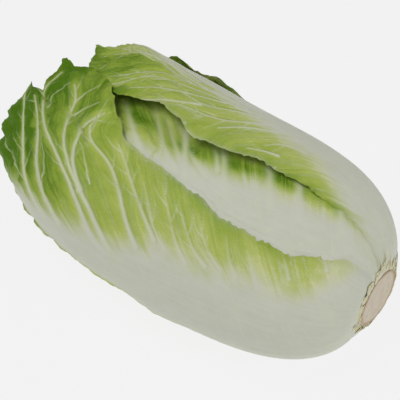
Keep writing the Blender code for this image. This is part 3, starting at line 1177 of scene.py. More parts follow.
def unwrap(mesh: Any, name: str, flat: np.ndarray) -> None:
    """Gives a mesh a UV map.

    Args:
        mesh: The mesh.
        name: The map's name.
        flat: A place in metres for each of the mesh's points.
    """
    corner = np.empty(len(mesh.loops), np.int32)
    mesh.loops.foreach_get("vertex_index", corner)
    mesh.uv_layers.new(name=name).data.foreach_set("uv", flat[corner].astype(np.float32).ravel())


def closed_rings(rings: Sequence[Any], ends: Sequence[Any]) -> tuple[np.ndarray, list[list[int]]]:
    """Closes stacked rings of points with a fan to a point at each end.

    Args:
        rings: The rings, each with as many points as the next.
        ends: The point before the first ring and the one after the last.

    Returns:
        The points and the faces.
    """
    rows, columns = len(rings), len(rings[0])
    ring = np.arange(rows * columns).reshape(rows, columns)
    ahead = np.roll(ring, -1, axis=1)
    made = np.stack([ring[:-1], ring[1:], ahead[1:], ahead[:-1]], -1).reshape(-1, 4).tolist()
    first, last = rows * columns, rows * columns + 1
    made += [[int(a), int(b), first] for a, b in zip(ring[0], ahead[0])]
    made += [[int(b), int(a), last] for a, b in zip(ring[-1], ahead[-1])]
    return np.vstack([*rings, *ends]), made


def filled_in(values: np.ndarray, skip: int) -> np.ndarray:
    """Draws straight lines between the points of a coarse grid to fill a finer one.

    Args:
        values: The coarse grid.
        skip: How many fine cells each coarse one is across.

    Returns:
        The fine grid.
    """
    for axis in (0, 1):
        count = values.shape[axis]
        at = np.arange((count - 1) * skip + 1) / skip
        low = np.minimum(at.astype(int), count - 2)
        share = np.expand_dims(at - low, 1 - axis)
        values = np.take(values, low, axis) * (1 - share) + np.take(values, low + 1, axis) * share
    return values


# Leaves


@dataclass
class Skin:
    """The points of a leaf's upper skin, in rows along the leaf and columns across it."""

    plan: LeafPlan
    skip: int  # the lower skin has one point for this many of the upper skin's
    crowding: float = 0.35  # how much closer the rows are at the tip than at the base
    hidden_share: float = 0.27  # columns where it doesn't show, against where it does

    def __post_init__(self) -> None:
        """Lays out the points' places along the head, their sides and their angles."""
        plan = self.plan
        rows, columns = plan.rows - plan.rows % self.skip, plan.columns - plan.columns % self.skip
        even = np.linspace(-1.0, 1.0, 400)
        seen = ease((even - plan.seen[0] + 0.1) / 0.1) * ease((plan.seen[1] + 0.1 - even) / 0.1)
        run = np.cumsum(between((self.hidden_share, 1.0), seen))
        run = (run - run[0]) / (run[-1] - run[0])
        side = np.interp(np.linspace(0.0, 1.0, columns + 1), run, even)[None, :]
        share = np.linspace(0.0, 1.0, rows + 1)[:, None]
        share = share + self.crowding * share * (1 - share)
        wander = SmoothNoise(plan.seed + 40)
        end = spline(plan.end, side) + plan.lobes * wander.layered(side * 7.0, side * 0 + 0.5)
        self.along = along = HEAD.leaves_start + (end - HEAD.leaves_start) * share
        self.side = side + 0 * along
        self.centre, self.low, self.high = plan.edges(along)
        angle = self.centre + np.where(side < 0, self.centre - self.low, self.high - self.centre) * side
        angle = angle + np.sign(side) * self.teeth() * ease((np.abs(side) - 0.9) / 0.1)
        self.angle = angle + plan.spotted(plan.leans, along, angle - self.centre)
        across = (1 - np.abs(self.side)) * np.radians(self.high - self.low) / 2 * HEAD.radius_at(along)
        self.margin = np.minimum(across, (end - along) * HEAD.length)  # metres to the leaf's nearest edge

    def teeth(self) -> np.ndarray:
        """Draws how the leaf's long edges are ragged.

        Returns:
            How far out each point would be, in degrees, if it were on an edge.
        """
        wander = SmoothNoise(self.plan.seed + 50)
        hand = np.sign(self.side) * 5.0
        points = 0.5 - np.abs(wander(self.along * 80.0, hand)) + 0.3 * wander(self.along * 150.0, hand + 9)
        return through(self.plan.teeth, self.along) * points

    @cached_property
    def flat(self) -> tuple[np.ndarray, np.ndarray]:
        """The leaf rolled out flat: metres along it and across it."""
        return self.along * HEAD.length, np.radians(self.angle - self.centre) * HEAD.radius * 0.95

    @cached_property
    def out(self) -> np.ndarray:
        """Measures out from the white midrib.

        Returns:
            How far out each point is, in metres.
        """
        reach = HEAD.radius_at(self.along)
        from_low = np.radians(spline(self.plan.rib_low, self.along) - self.angle) * reach
        return np.maximum(from_low, np.radians(self.angle - spline(self.plan.rib_high, self.along)) * reach)

    @cached_property
    def few(self) -> tuple[slice, slice]:
        """Picks the points that the lower skin has."""
        return slice(None, None, self.skip), slice(None, None, self.skip)

    def both(self, values: np.ndarray) -> np.ndarray:
        """A map of the upper skin, followed by the same for the lower skin."""
        return np.concatenate([values.ravel(), values[self.few].ravel()])

    def faces(self) -> list[list[int]]:
        """Joins up the points of the two skins.

        Returns:
            The faces of both and of the rim between them, all turned outwards.
        """
        upper = np.arange(self.along.size).reshape(self.along.shape)
        count = upper[self.few].shape
        lower = upper.size + np.arange(count[0] * count[1]).reshape(count)
        top = np.stack([upper[:-1, :-1], upper[1:, :-1], upper[1:, 1:], upper[:-1, 1:]], -1)
        under = np.stack([lower[:-1, :-1], lower[:-1, 1:], lower[1:, 1:], lower[1:, :-1]], -1)
        made = top.reshape(-1, 4).tolist() + under.reshape(-1, 4).tolist()
        sides = (
            (upper[:, 0], lower[:, 0], -1),
            (upper[:, -1], lower[:, -1], 1),
            (upper[0], lower[0], 1),
            (upper[-1], lower[-1], -1),
        )
        for fine, coarse, way in sides:
            for k in range(len(coarse) - 1):
                strip = fine[k * self.skip : (k + 1) * self.skip + 1].tolist()
                made.append((strip + [int(coarse[k + 1]), int(coarse[k])])[::way])
        return made

    def sharpen(self, mesh: Any) -> None:
        """Marks the rim of the upper skin, so that its shading doesn't run round the edge.

        Args:
            mesh: The leaf's mesh.
        """
        inner = np.ones(len(mesh.vertices), bool)
        upper = inner[: self.along.size].reshape(self.along.shape)
        upper[[0, -1]] = upper[:, [0, -1]] = False
        ends = np.empty(2 * len(mesh.edges), np.int32)
        mesh.edges.foreach_get("vertices", ends)
        rim = ~inner[ends].reshape(-1, 2).any(axis=1)
        mesh.attributes.new("sharp_edge", "BOOLEAN", "EDGE").data.foreach_set("value", rim)


@dataclass
class LeafShape:
    """Turns a packed leaf into a thin crinkled sheet with a fleshy midrib.

    A pair of sizes is for the base of the leaf and for its tip.
    """

    plan: LeafPlan
    packing: Packing
    tool: NodeTool
    ridge: float = 0.6 * MM
    groove: float = 1.0 * MM
    bulge: tuple[float, float] = (0.35 * MM, 2.2 * MM)
    pucker: tuple[float, float] = (0.15 * MM, 1.45 * MM)
    wave: tuple[float, float] = (0.2 * MM, 2.8 * MM)
    streak: tuple[float, float] = (0.16 * MM, 0.34 * MM)
    fibre: float = 0.12 * MM
    streak_size: tuple[float, float] = (3.6 * MM, 50 * MM)
    pucker_size: tuple[float, float] = (8.5 * MM, 7 * MM)
    wave_size: float = 15 * MM
    fibre_size: tuple[float, float] = (70 * MM, 2.6 * MM)
    dark_rim: float = 0.38  # how much darker a green it is along its edges
    gap_shading: float = 0.32  # painted shade, darker between its main veins and lighter beside them
    bleached_rim: float = 0.35
    scar_end: float = 0.078  # how far along the head its base is bruised
    closeness: float = 0.04 * MM  # how near it may come to the leaves over it
    deepest: float = 0.8  # how far a dent may reach into the sheet, as a share of its thickness
    tuck: float = 1.6  # how far in the lower skin's edges lie from the upper skin's, in degrees
    floor_gap: tuple[float, float] = (0.1 * MM, 0.3 * MM)  # from the floor to the upper and lower skins
    tones: Pairs = ((0.08, 0), (0.22, 0.13), (0.38, 0.32), (0.6, 0.43), (0.72, 0.68), (0.84, 1), (1, 1))

    def __post_init__(self) -> None:
        """Lays out the leaf's skin, its veins and what follows from them."""
        plan, skin = self.plan, Skin(self.plan, skip=3)
        network = VeinNetwork(plan)
        veins = network.build()
        self.skin, self.maps = skin, VeinMaps.of(veins, skin.along, skin.angle)
        self.flow = filled_in(network.flow(veins, skin.along[skin.few], skin.angle[skin.few]), skin.skip)
        across, along = self.streak_size
        self.streaks = SmoothNoise(plan.seed + 90).layered(self.flow / across, skin.out / along, 2)
        self.blade = self.blade_share()

    def build(self, finish: Any) -> Any:
        """Builds the leaf.

        Args:
            finish: Its material.

        Returns:
            The object.
        """
        skin, maps = self.skin, self.maps
        outside, over = self.packing.add(self.plan)
        depth = self.packing.read(outside, skin.along, skin.angle)
        room = depth - self.packing.read(over, skin.along, skin.angle) - self.closeness
        lift = np.minimum(self.lift(), room)
        upper = HEAD.place(skin.along, skin.angle, depth - lift)
        on_floor = ease((4 * MM - upper[..., 2]) / (3 * MM))
        depth = depth - lift * (1 - on_floor)
        upper = HEAD.place(skin.along, skin.angle, depth)
        tucked = skin.angle - np.sign(skin.side) * self.tuck * ease((np.abs(skin.side) - 0.94) / 0.06)
        lower = HEAD.place(skin.along, tucked, depth + self.thickness())[skin.few]
        for layer, gap in zip((upper, lower), self.floor_gap):
            layer[..., 2] = np.maximum(layer[..., 2], gap)
        points = np.vstack([upper.reshape(-1, 3), lower.reshape(-1, 3)])
        piece = new_piece(f"{self.plan.node}_sheet", points, skin.faces())
        skin.sharpen(piece.data)
        painted = {"blade": self.blade, "vein": maps.pale, "crease": maps.crease}
        painted |= {"tone": self.tone() + 0.08 * self.streaks, "scar": self.scar()}
        store(piece.data, {name: skin.both(values) for name, values in painted.items()})
        free = self.blade * (1 - on_floor) * (0.4 + 0.6 * ease((skin.along - 0.4) / 0.3))
        free = free * (1 - 0.9 * np.minimum(maps.pale * 1.3, 1))
        store(piece.data, {"skin": np.concatenate([free.ravel(), np.zeros(lower[..., 0].size)])})
        for name, (u, w) in {"leaf_plane": skin.flat, "vein_flow": (self.flow, skin.out)}.items():
            unwrap(piece.data, name, np.stack([skin.both(u), skin.both(w)], -1))
        self.tool.apply(piece, Material=finish, Seed=float(self.plan.seed))
        return piece

    def blade_share(self) -> np.ndarray:
        """Works out how far the green reaches, in wedges between the veins.

        Returns:
            How green each point is, from 0 on the midrib to 1.
        """
        along, margin = self.skin.along, self.skin.margin
        wedge = self.plan.wedge * (ease(self.maps.web / (7 * MM)) - 0.45)
        share = ease((self.skin.out + self.streaks * 2.6 * MM + wedge) / self.plan.fade + 0.35)
        middle = ease((along - 0.3) / 0.08) * ease((0.64 - along) / 0.08)
        bleached = self.bleached_rim * np.exp(-margin / (1.5 * MM)) * middle
        return share * (1 - bleached) * (0.3 + 0.7 * ease((along - 0.1) / 0.12))

    def lift(self) -> np.ndarray:
        """Works out how far the upper skin stands out from where the packing puts it.

        Returns:
            Heights in metres.
        """
        skin, packing = self.skin, self.packing
        height = self.relief() + self.plan.rise
        height = np.where(height < 0, height * ease(skin.margin / (10 * MM)), height)
        inward = ease((1 - np.abs(skin.side)) * (skin.high - skin.low) / 2 / packing.taper)
        return np.maximum(height, -self.deepest * packing.sheet_blade * inward)

    def relief(self) -> np.ndarray:
        """Adds up the leaf's veins, bulges, puckers and waves.

        Returns:
            Heights in metres.
        """
        maps, blade, (u, w) = self.maps, self.blade, self.skin.flat
        to_tip = ease((self.skin.along - 0.35) / 0.45)
        noise = SmoothNoise(self.plan.seed + 70)
        calm = 1 - 0.85 * bell(maps.web / (4 * MM))
        height = maps.height * self.ridge * (0.35 + 0.65 * blade) - maps.crease * self.groove * blade
        height = height + between(self.streak, to_tip) * blade * self.streaks
        height = height + between(self.bulge, to_tip) * blade * (ease(maps.nearest / (6 * MM)) - 0.5)
        puckers = noise.layered(u / self.pucker_size[0], w / self.pucker_size[1])
        height = height + between(self.pucker, to_tip) * blade * calm * puckers
        ripple = noise(u / self.wave_size + 9.1, w / self.wave_size + 4.7) + 0.2
        ripple = ripple * bell(self.skin.margin / (12 * MM))
        height = height + between(self.wave, to_tip) * blade * (0.4 + 0.6 * calm) * ripple
        return height + (1 - blade) * self.fibre * noise(u / self.fibre_size[0], w / self.fibre_size[1])

    def thickness(self) -> np.ndarray:
        """Works out the leaf's thickness.

        Returns:
            The thickness at each point, in metres.
        """
        _, off = self.plan.side(self.skin.along, self.skin.angle)
        ends = (self.packing.sheet_edge, self.packing.sheet_blade)
        return between(ends, ease(self.skin.margin / (10 * MM))) + self.packing.fleshy(self.skin.along, off)

    def tone(self) -> np.ndarray:
        """Works out how dark a green the blade is, painted shade and shadow included.

        Returns:
            Tones from 0, which is common near the base, to 1 at the tip.
        """
        along, margin = self.skin.along, self.skin.margin
        edge = 0.05 * np.exp(-margin / (7 * MM)) * ease((along - 0.4) / 0.3)
        middle = ease((0.6 - along) / 0.2) * ease((along - 0.13) / 0.15)
        edge = edge + self.dark_rim * np.exp(-margin / (11 * MM)) * middle
        # painted shade between the main veins towards the tip, and painted light beside them
        gap_shade = self.gap_shading * (ease(self.maps.web / (6 * MM)) - 0.45) * ease((along - 0.45) / 0.3)
        outward = 0.5 + 0.5 * ease((self.skin.out + 2 * MM) / (26 * MM))
        # its own tints, and painted shadow spots
        spots = self.plan.spotted(self.plan.tints_and_shadows, along, self.skin.angle - self.skin.centre)
        return through(self.tones, along) * outward + edge + gap_shade + spots + self.plan.greenness

    def scar(self) -> np.ndarray:
        """Finds where the leaf's base is bruised round the cut stem.

        Returns:
            How bruised each point is, from 0 to 1.
        """
        along = self.skin.along
        wander = SmoothNoise(self.plan.seed + 80).layered(along * 90.0, self.skin.angle * 0.09)
        return ease((self.scar_end + 0.012 * wander - along) / 0.014)


@dataclass
class HeartShape:
    """The folded small leaves at the centre, as one closed body with deep folds."""

    packing: Packing
    depth: Pairs
    rows: int = 120
    columns: int = 168
    end: float = 0.985
    hollow_x: float = 0.0785
    fold: float = 1.1 * MM
    greenness: float = 0.8
    darkness: float = 0.08
    seed: int = 91

    def build(self, finish: Any, tool: NodeTool) -> Any:
        """Builds the heart.

        Args:
            finish: Its material.
            tool: The tool that crinkles it.

        Returns:
            The object.
        """
        outside = self.packing.settle(through(self.depth, self.packing.along))
        along = np.linspace(HEAD.leaves_start, self.end, self.rows + 1)[:, None]
        angle = np.linspace(-180.0, 180.0, self.columns + 1)[None, :-1]
        along, angle = np.broadcast_arrays(along, angle)
        noise = SmoothNoise(self.seed)
        swirl = np.sin(np.radians(angle * 5) + along * 9 + noise(along * 6, np.abs(angle) / 180.0 * 5) * 2)
        folds = 1 - np.abs(swirl) ** 0.6
        depth = self.packing.read(outside, along, angle) + self.fold * (1.0 - folds)
        rings = HEAD.place(along, angle, depth)
        ends = [[self.hollow_x, 0.0, HEAD.axis_height], rings[-1].mean(axis=0)]
        piece = new_piece("heart_leaves_folded", *closed_rings(rings, ends))
        even = np.ones(along.shape)
        maps = {
            "blade": (self.greenness * even, self.greenness),
            "tone": (self.darkness * even, self.darkness),
            "vein": (0.7 * folds**3, 0.0),
            # painted shade, darkest at the bottom of the folds
            "crease": (0.5 * (1 - folds) ** 4, 0.0),
            "scar": (0 * even, 0.0),
            "skin": (even, 0.0),
        }
        for name, (values, end) in maps.items():
            store(piece.data, {name: np.append(values.ravel(), [end, end])})
        flat = np.stack([along * HEAD.length, np.radians(np.abs(angle)) * HEAD.radius], -1).reshape(-1, 2)
        for name in ("leaf_plane", "vein_flow"):
            unwrap(piece.data, name, np.vstack([flat, [[0.0, 0.0], [HEAD.length, 0.0]]]))
        tool.apply(piece, Material=finish, Seed=float(self.seed))
        return piece


# Cut stem


@dataclass
class CutStem:
    """The round butt where the head was cut, its core, its vessels and the torn leaf bases round it."""

    face_x: float = 0.1373
    radius: float = 0.0197
    lift: float = 2.4 * MM
    rim: float = 1.0 * MM
    dish: float = 0.4 * MM
    slope: float = 0.15  # how far the face leans back towards its top
    face_rings: int = 44
    columns: int = 180
    clearance: float = -0.005
    core: tuple[float, float] = (-0.0003, 0.044)  # the core's depth at the shoulder and at its end
    core_rings: int = 12
    unevenness: float = 0.035  # how far the face is from round
    bump: tuple[float, float] = (0.3 * MM, 5 * MM)  # the height and reach of the face's bumps
    cut_mark: tuple[float, float, float] = (0.12 * MM, 0.9 * MM, 18 * MM)  # and of the knife's marks
    vessel_count: int = 34
    vessel_ring: float = 0.68  # the vessels' ring, against the face's radius
    vessel_size: tuple[float, float] = (0.75 * MM, 0.3 * MM)  # their radius and height
    vessels_sunk: float = 0.45 * MM  # how far under the face's edge they are set
    torn_sunk: float = 0.6 * MM
    torn_out: float = 1.3 * MM  # how far out from the face's edge the torn bases start
    seed: int = 31
    torn: Sequence[tuple[float, float, int, float, float]] = (
        (11 * MM, 10 * MM, 19, -80, 200),
        (8 * MM, 6 * MM, 34, -80, 200),
        (20 * MM, 1.5 * MM, 6, -38, 50),
        (8 * MM, 7 * MM, 30, 122, 156),
    )  # each kind's length, width and count, the angle that it starts at and how far round it goes

    def build(self, finish: Any) -> Any:
        """Builds the butt and the core as one closed body.

        Args:
            finish: Its material.

        Returns:
            The object.
        """
        angle = np.linspace(-180.0, 180.0, self.columns + 1)[:-1]
        turn = np.radians(angle)
        noise = SmoothNoise(self.seed)
        uneven = 1 + self.unevenness * noise(np.cos(turn) * 2 + 9, np.sin(turn) * 2 + 9)
        leaning = np.cos(turn - math.radians(CUT_LEAN[1]))
        rings, rims = [], []
        for share in np.linspace(0.02, 1.0, self.face_rings):
            reach = share * (self.radius - self.rim / 2) * uneven
            y, z = -reach * np.sin(turn), reach * np.cos(turn)
            bumps = noise.layered(y / self.bump[1] + 20, z / self.bump[1] + 20, 4) * self.bump[0]
            height, wide, long = self.cut_mark
            cuts = noise(y / wide + 3, (z + 0.35 * y) / long + 8) * height
            sunk = self.dish * (1 - share**4) + 0.25 * self.rim * ease((share - 0.93) / 0.07) * 2
            sunk = sunk + self.slope * (reach * leaning + self.radius)
            x = self.face_x - sunk + (bumps + cuts) * (1 - 0.4 * share)
            rings.append(np.stack([x, y, z + self.lift + HEAD.axis_height], -1))
            rims.append(share**6)
        for k, (down, out) in enumerate(((0.2, 0.6), (0.5, 0.9), (0.9, 1.2))):
            reach = (self.radius + (out - 0.5) * self.rim * 0.5) * uneven
            x = self.face_x - down * self.rim - self.slope * (reach * leaning + self.radius)
            z = reach * np.cos(turn) + self.lift * (1 - 0.3 * k) + HEAD.axis_height
            rings.append(np.stack([x, -reach * np.sin(turn), z], -1))
            rims.append(0.8 - 0.4 * k)
        start = np.full(self.columns, HEAD.leaves_start - self.clearance)
        at, towards, reach_along, reach_angle, amount = CUT_LEAN
        away = ((start - at) / reach_along) ** 2 + (((angle - towards + 180) % 360 - 180) / reach_angle) ** 2
        for share in np.linspace(0.0, 1.0, self.core_rings):
            depth = between(self.core, share) - amount * np.exp(-away) * (1 - share)
            rings.append(HEAD.place(start, angle, depth))
            rims.append(-0.2)
        ends = [rings[0].mean(axis=0), rings[-1].mean(axis=0) - [1 * MM, 0.0, 0.0]]
        piece = new_piece("cut_stem_butt", *closed_rings(rings, ends))
        store(piece.data, {"rim": np.append(np.repeat(rims, self.columns), [0.0, 0.0])})
        piece.data.materials.append(finish)
        return piece

    def ring(self, sunk: float) -> dict[str, Any]:
        """What pieces that are set round the leaning face have in common, at a depth under its edge."""
        centre = (self.face_x - sunk - self.slope * self.radius, 0.0, HEAD.axis_height + self.lift)
        return {"Centre": centre, "Lean": -self.slope, "Least_Size": 0.45}

    def vessels(self, tool: NodeTool, finish: Any) -> Any:
        """Builds the ring of cut vessels on the face.

        Args:
            tool: The tool that sets pieces round a ring.
            finish: Their material.

        Returns:
            The object.
        """
        piece = self.bead("cut_stem_vessels", *self.vessel_size)
        ring = {"Count": self.vessel_count, "Radius": self.radius * self.vessel_ring, "Seed": self.seed}
        tool.apply(piece, Material=finish, Spread=1.1 * MM, Tilt=0.1, **ring, **self.ring(self.vessels_sunk))
        return piece

    def torn_bases(self, tool: NodeTool, finish: Any) -> list[Any]:
        """Builds torn strips of leaf base that lie outwards from the rim.

        Args:
            tool: The tool that sets pieces round a ring.
            finish: Their material.

        Returns:
            One object for each kind of strip.
        """
        made = []
        for k, (length, width, count, start, turn) in enumerate(self.torn):
            seed = 71 + k
            piece = self.strip(f"torn_leaf_bases_{k + 1}", length, width, seed)
            ring = {"Count": count, "Start": math.radians(start), "Turn": math.radians(turn), "Seed": seed}
            ring |= {"Radius": self.radius + self.torn_out, "Spread": 1.5 * MM, "Tilt": 0.06, "Droop": 0.2}
            tool.apply(piece, Material=finish, **ring, **self.ring(self.torn_sunk))
            made.append(piece)
        return made

    @staticmethod
    def bead(name: str, radius: float, height: float) -> Any:
        """Makes a low round bead that faces along X.

        Args:
            name: Its name.
            radius: Its radius.
            height: How far it stands out.

        Returns:
            The object.
        """
        turn = np.linspace(0.0, math.tau, 13)[:-1]
        rings = []
        for lean in np.radians([25.0, 55.0, 90.0, 130.0]):
            reach = radius * math.sin(lean)
            x = np.full(len(turn), height * math.cos(lean))
            rings.append(np.stack([x, -reach * np.sin(turn), reach * np.cos(turn) * 0.8], -1))
        return new_piece(name, *closed_rings(rings, [[height, 0.0, 0.0], [-height, 0.0, 0.0]]))

    @staticmethod
    def strip(name: str, length: float, width: float, seed: int) -> Any:
        """Makes one torn strip: broad at its root, ragged along its sides, curling at its end.

        Args:
            name: Its name.
            length: Its length.
            width: Its width at the root.
            seed: Draws its raggedness.

        Returns:
            The object.
        """
        noise = SmoothNoise(seed)
        turn = np.linspace(0.0, math.tau, 9)[:-1]
        rings = []
        for share in np.linspace(0.0, 1.0, 18):
            out = length * share
            wide = width * (1 - share**3) * (0.9 + 0.5 * float(noise(share * 5, 0.3))) / 2 + 0.1 * MM
            thick = 0.5 * MM * (1 - 0.75 * share)
            x = -0.12 * out + 0.25 * MM * float(noise(share * 4, 5.5))
            sway = 0.2 * width * float(noise(share * 3, 9.5))
            across = wide * np.sign(np.sin(turn)) * np.abs(np.sin(turn)) ** 0.7
            rings.append(np.stack([x + thick * np.cos(turn), across + sway, out + 0 * turn], -1))
        return new_piece(name, *closed_rings(rings, [rings[0].mean(axis=0), rings[-1].mean(axis=0)]))


# Studio


@dataclass
class Studio:
    """The floor, the lights, the surroundings and the camera."""

    azimuth: float = 33.0
    elevation: float = 57.0
    distance: float = 0.743
    aim: tuple[float, float, float] = (-0.001, 0.0015, 0.068)
    lens: float = 100.0
    floor_reach: float = 3.0
    surroundings: float = 0.27

    def build(self) -> None:
        """Sets everything up."""
        self.floor()
        self.light("key", (-0.3, -0.35, 1.4), 0.7, 7.5)
        self.light("fill", (1.2, 0.1, 0.8), 0.8, 3.6)
        self.sky()
        self.camera()
        bpy.context.scene.view_settings.view_transform = "Standard"

    def floor(self) -> None:
        """Lays the floor."""
        reach = self.floor_reach
        corners = np.array([(-reach, -reach, 0), (reach, -reach, 0), (reach, reach, 0), (-reach, reach, 0)])
        floor = new_piece("floor", corners, [[0, 1, 2, 3]])
        floor.data.materials.append(FloorFinish("lit_sweep").make())

    def hang(self, name: str, data: Any, place: Sequence[float], towards: np.ndarray) -> Any:
        """Puts a light or a camera in place, looking along a direction with its top upwards.

        Args:
            name: Its name.
            data: The light or the camera.
            place: Where it is.
            towards: Where it looks.

        Returns:
            The object.
        """
        made = bpy.data.objects.new(name, data)
        made.location = place
        x, y, z = towards
        made.rotation_euler = math.atan2(math.hypot(x, y), -z), 0.0, math.atan2(-x, y)
        bpy.context.scene.collection.objects.link(made)
        return made

    def light(self, name: str, place: tuple[float, float, float], size: float, power: float) -> None:
        """Hangs a square soft light that faces the head.

        Args:
            name: Its name.
            place: Where it hangs.
            size: The length of its side.
            power: Its watts.
        """
        lamp = bpy.data.lights.new(name, "AREA")
        lamp.shape, lamp.size, lamp.energy = "SQUARE", size, power
        self.hang(name, lamp, place, np.array(self.aim) - place)

    def sky(self) -> None:
        """Makes the pale surroundings."""
        world = bpy.data.worlds.new("surroundings")
        bpy.context.scene.world = world
        world.use_nodes = True
        background = world.node_tree.nodes["Background"]
        background.inputs["Color"].default_value = (1.0, 1.0, 1.0, 1.0)
        background.inputs["Strength"].default_value = self.surroundings

    def camera(self) -> None:
        """Sets the camera."""
        azimuth, elevation = math.radians(self.azimuth), math.radians(self.elevation)
        flat = math.cos(elevation)
        back = np.array([math.sin(azimuth) * flat, -math.cos(azimuth) * flat, math.sin(elevation)])
        data = bpy.data.cameras.new("camera")
        data.lens, data.clip_start, data.clip_end = self.lens, 0.01, 20.0
        bpy.context.scene.camera = self.hang("camera", data, np.array(self.aim) + back * self.distance, -back)


# The leaves of this head

RIB_SPREAD: Pairs = ((0.06, 40), (0.3, 30), (0.55, 17), (0.8, 8), (1, 4))
PLAIN_LEAN: Pairs = ((0.06, 66), (0.28, 54), (0.4, 42), (0.55, 38), (1, 34))
VEIN_STARTS: Sequence[float] = (*np.arange(0.12, 0.5, 0.036), *np.arange(0.5, 0.82, 0.05))


def hollow_at_tip(at_base: float, depth: float) -> Pairs:
    """Depths that deepen from the base and again towards the tip end."""
    return ((0, at_base), (0.3, depth), (0.74, depth), (0.94, depth + 0.010))


def plain(node: str, whorl: Whorl, turn: float, **given: Any) -> LeafPlan:
    """Plans a leaf that is even on both sides of a straight midrib, with its veins at even starts.

    Args:
        node: The CAD node it stands for.
        whorl: Which whorl it belongs to.
        turn: Its midrib's angle.
        given: The rest of its plan.

    Returns:
        The leaf's plan.
    """
    both = {
        "centre": ((0, turn), (1, turn)),
        "rib_low": tuple((at, turn - spread) for at, spread in RIB_SPREAD),
        "rib_high": tuple((at, turn + spread) for at, spread in RIB_SPREAD),
        "vein_starts": {Edge.LOW: VEIN_STARTS, Edge.HIGH: VEIN_STARTS},
        "vein_lean": {Edge.LOW: PLAIN_LEAN, Edge.HIGH: PLAIN_LEAN},
    }
    return LeafPlan(node=node, whorl=whorl, **both, **given)


def back_leaf() -> LeafPlan:
    """The outermost leaf, round the back and underneath.

    Returns:
        Its plan.
    """
    return plain(
        "outer_leaf_1",
        Whorl.OUTER,
        -126,
        low=((0.06, -176), (0.3, -190), (0.7, -196), (1, -196)),
        high=(
            (0.06, -93), (0.2, -92), (0.32, -86), (0.51, -76), (0.555, -61), (0.68, -58), (0.76, -62),
            (1, -64),
        ),
        end=((-1, 0.82), (-0.6, 0.87), (0, 0.89), (0.6, 0.83), (0.85, 0.755), (1, 0.72)),
        high_sink=(
            (0, 0), (0.52, 0), (0.545, -0.001), (0.572, -0.005), (0.605, -0.001), (0.66, -0.0025),
            (0.78, -0.001), (1, 0),
        ),
        rows=270,
        columns=210,
        greenness=0.12,
        seed=11,
    )


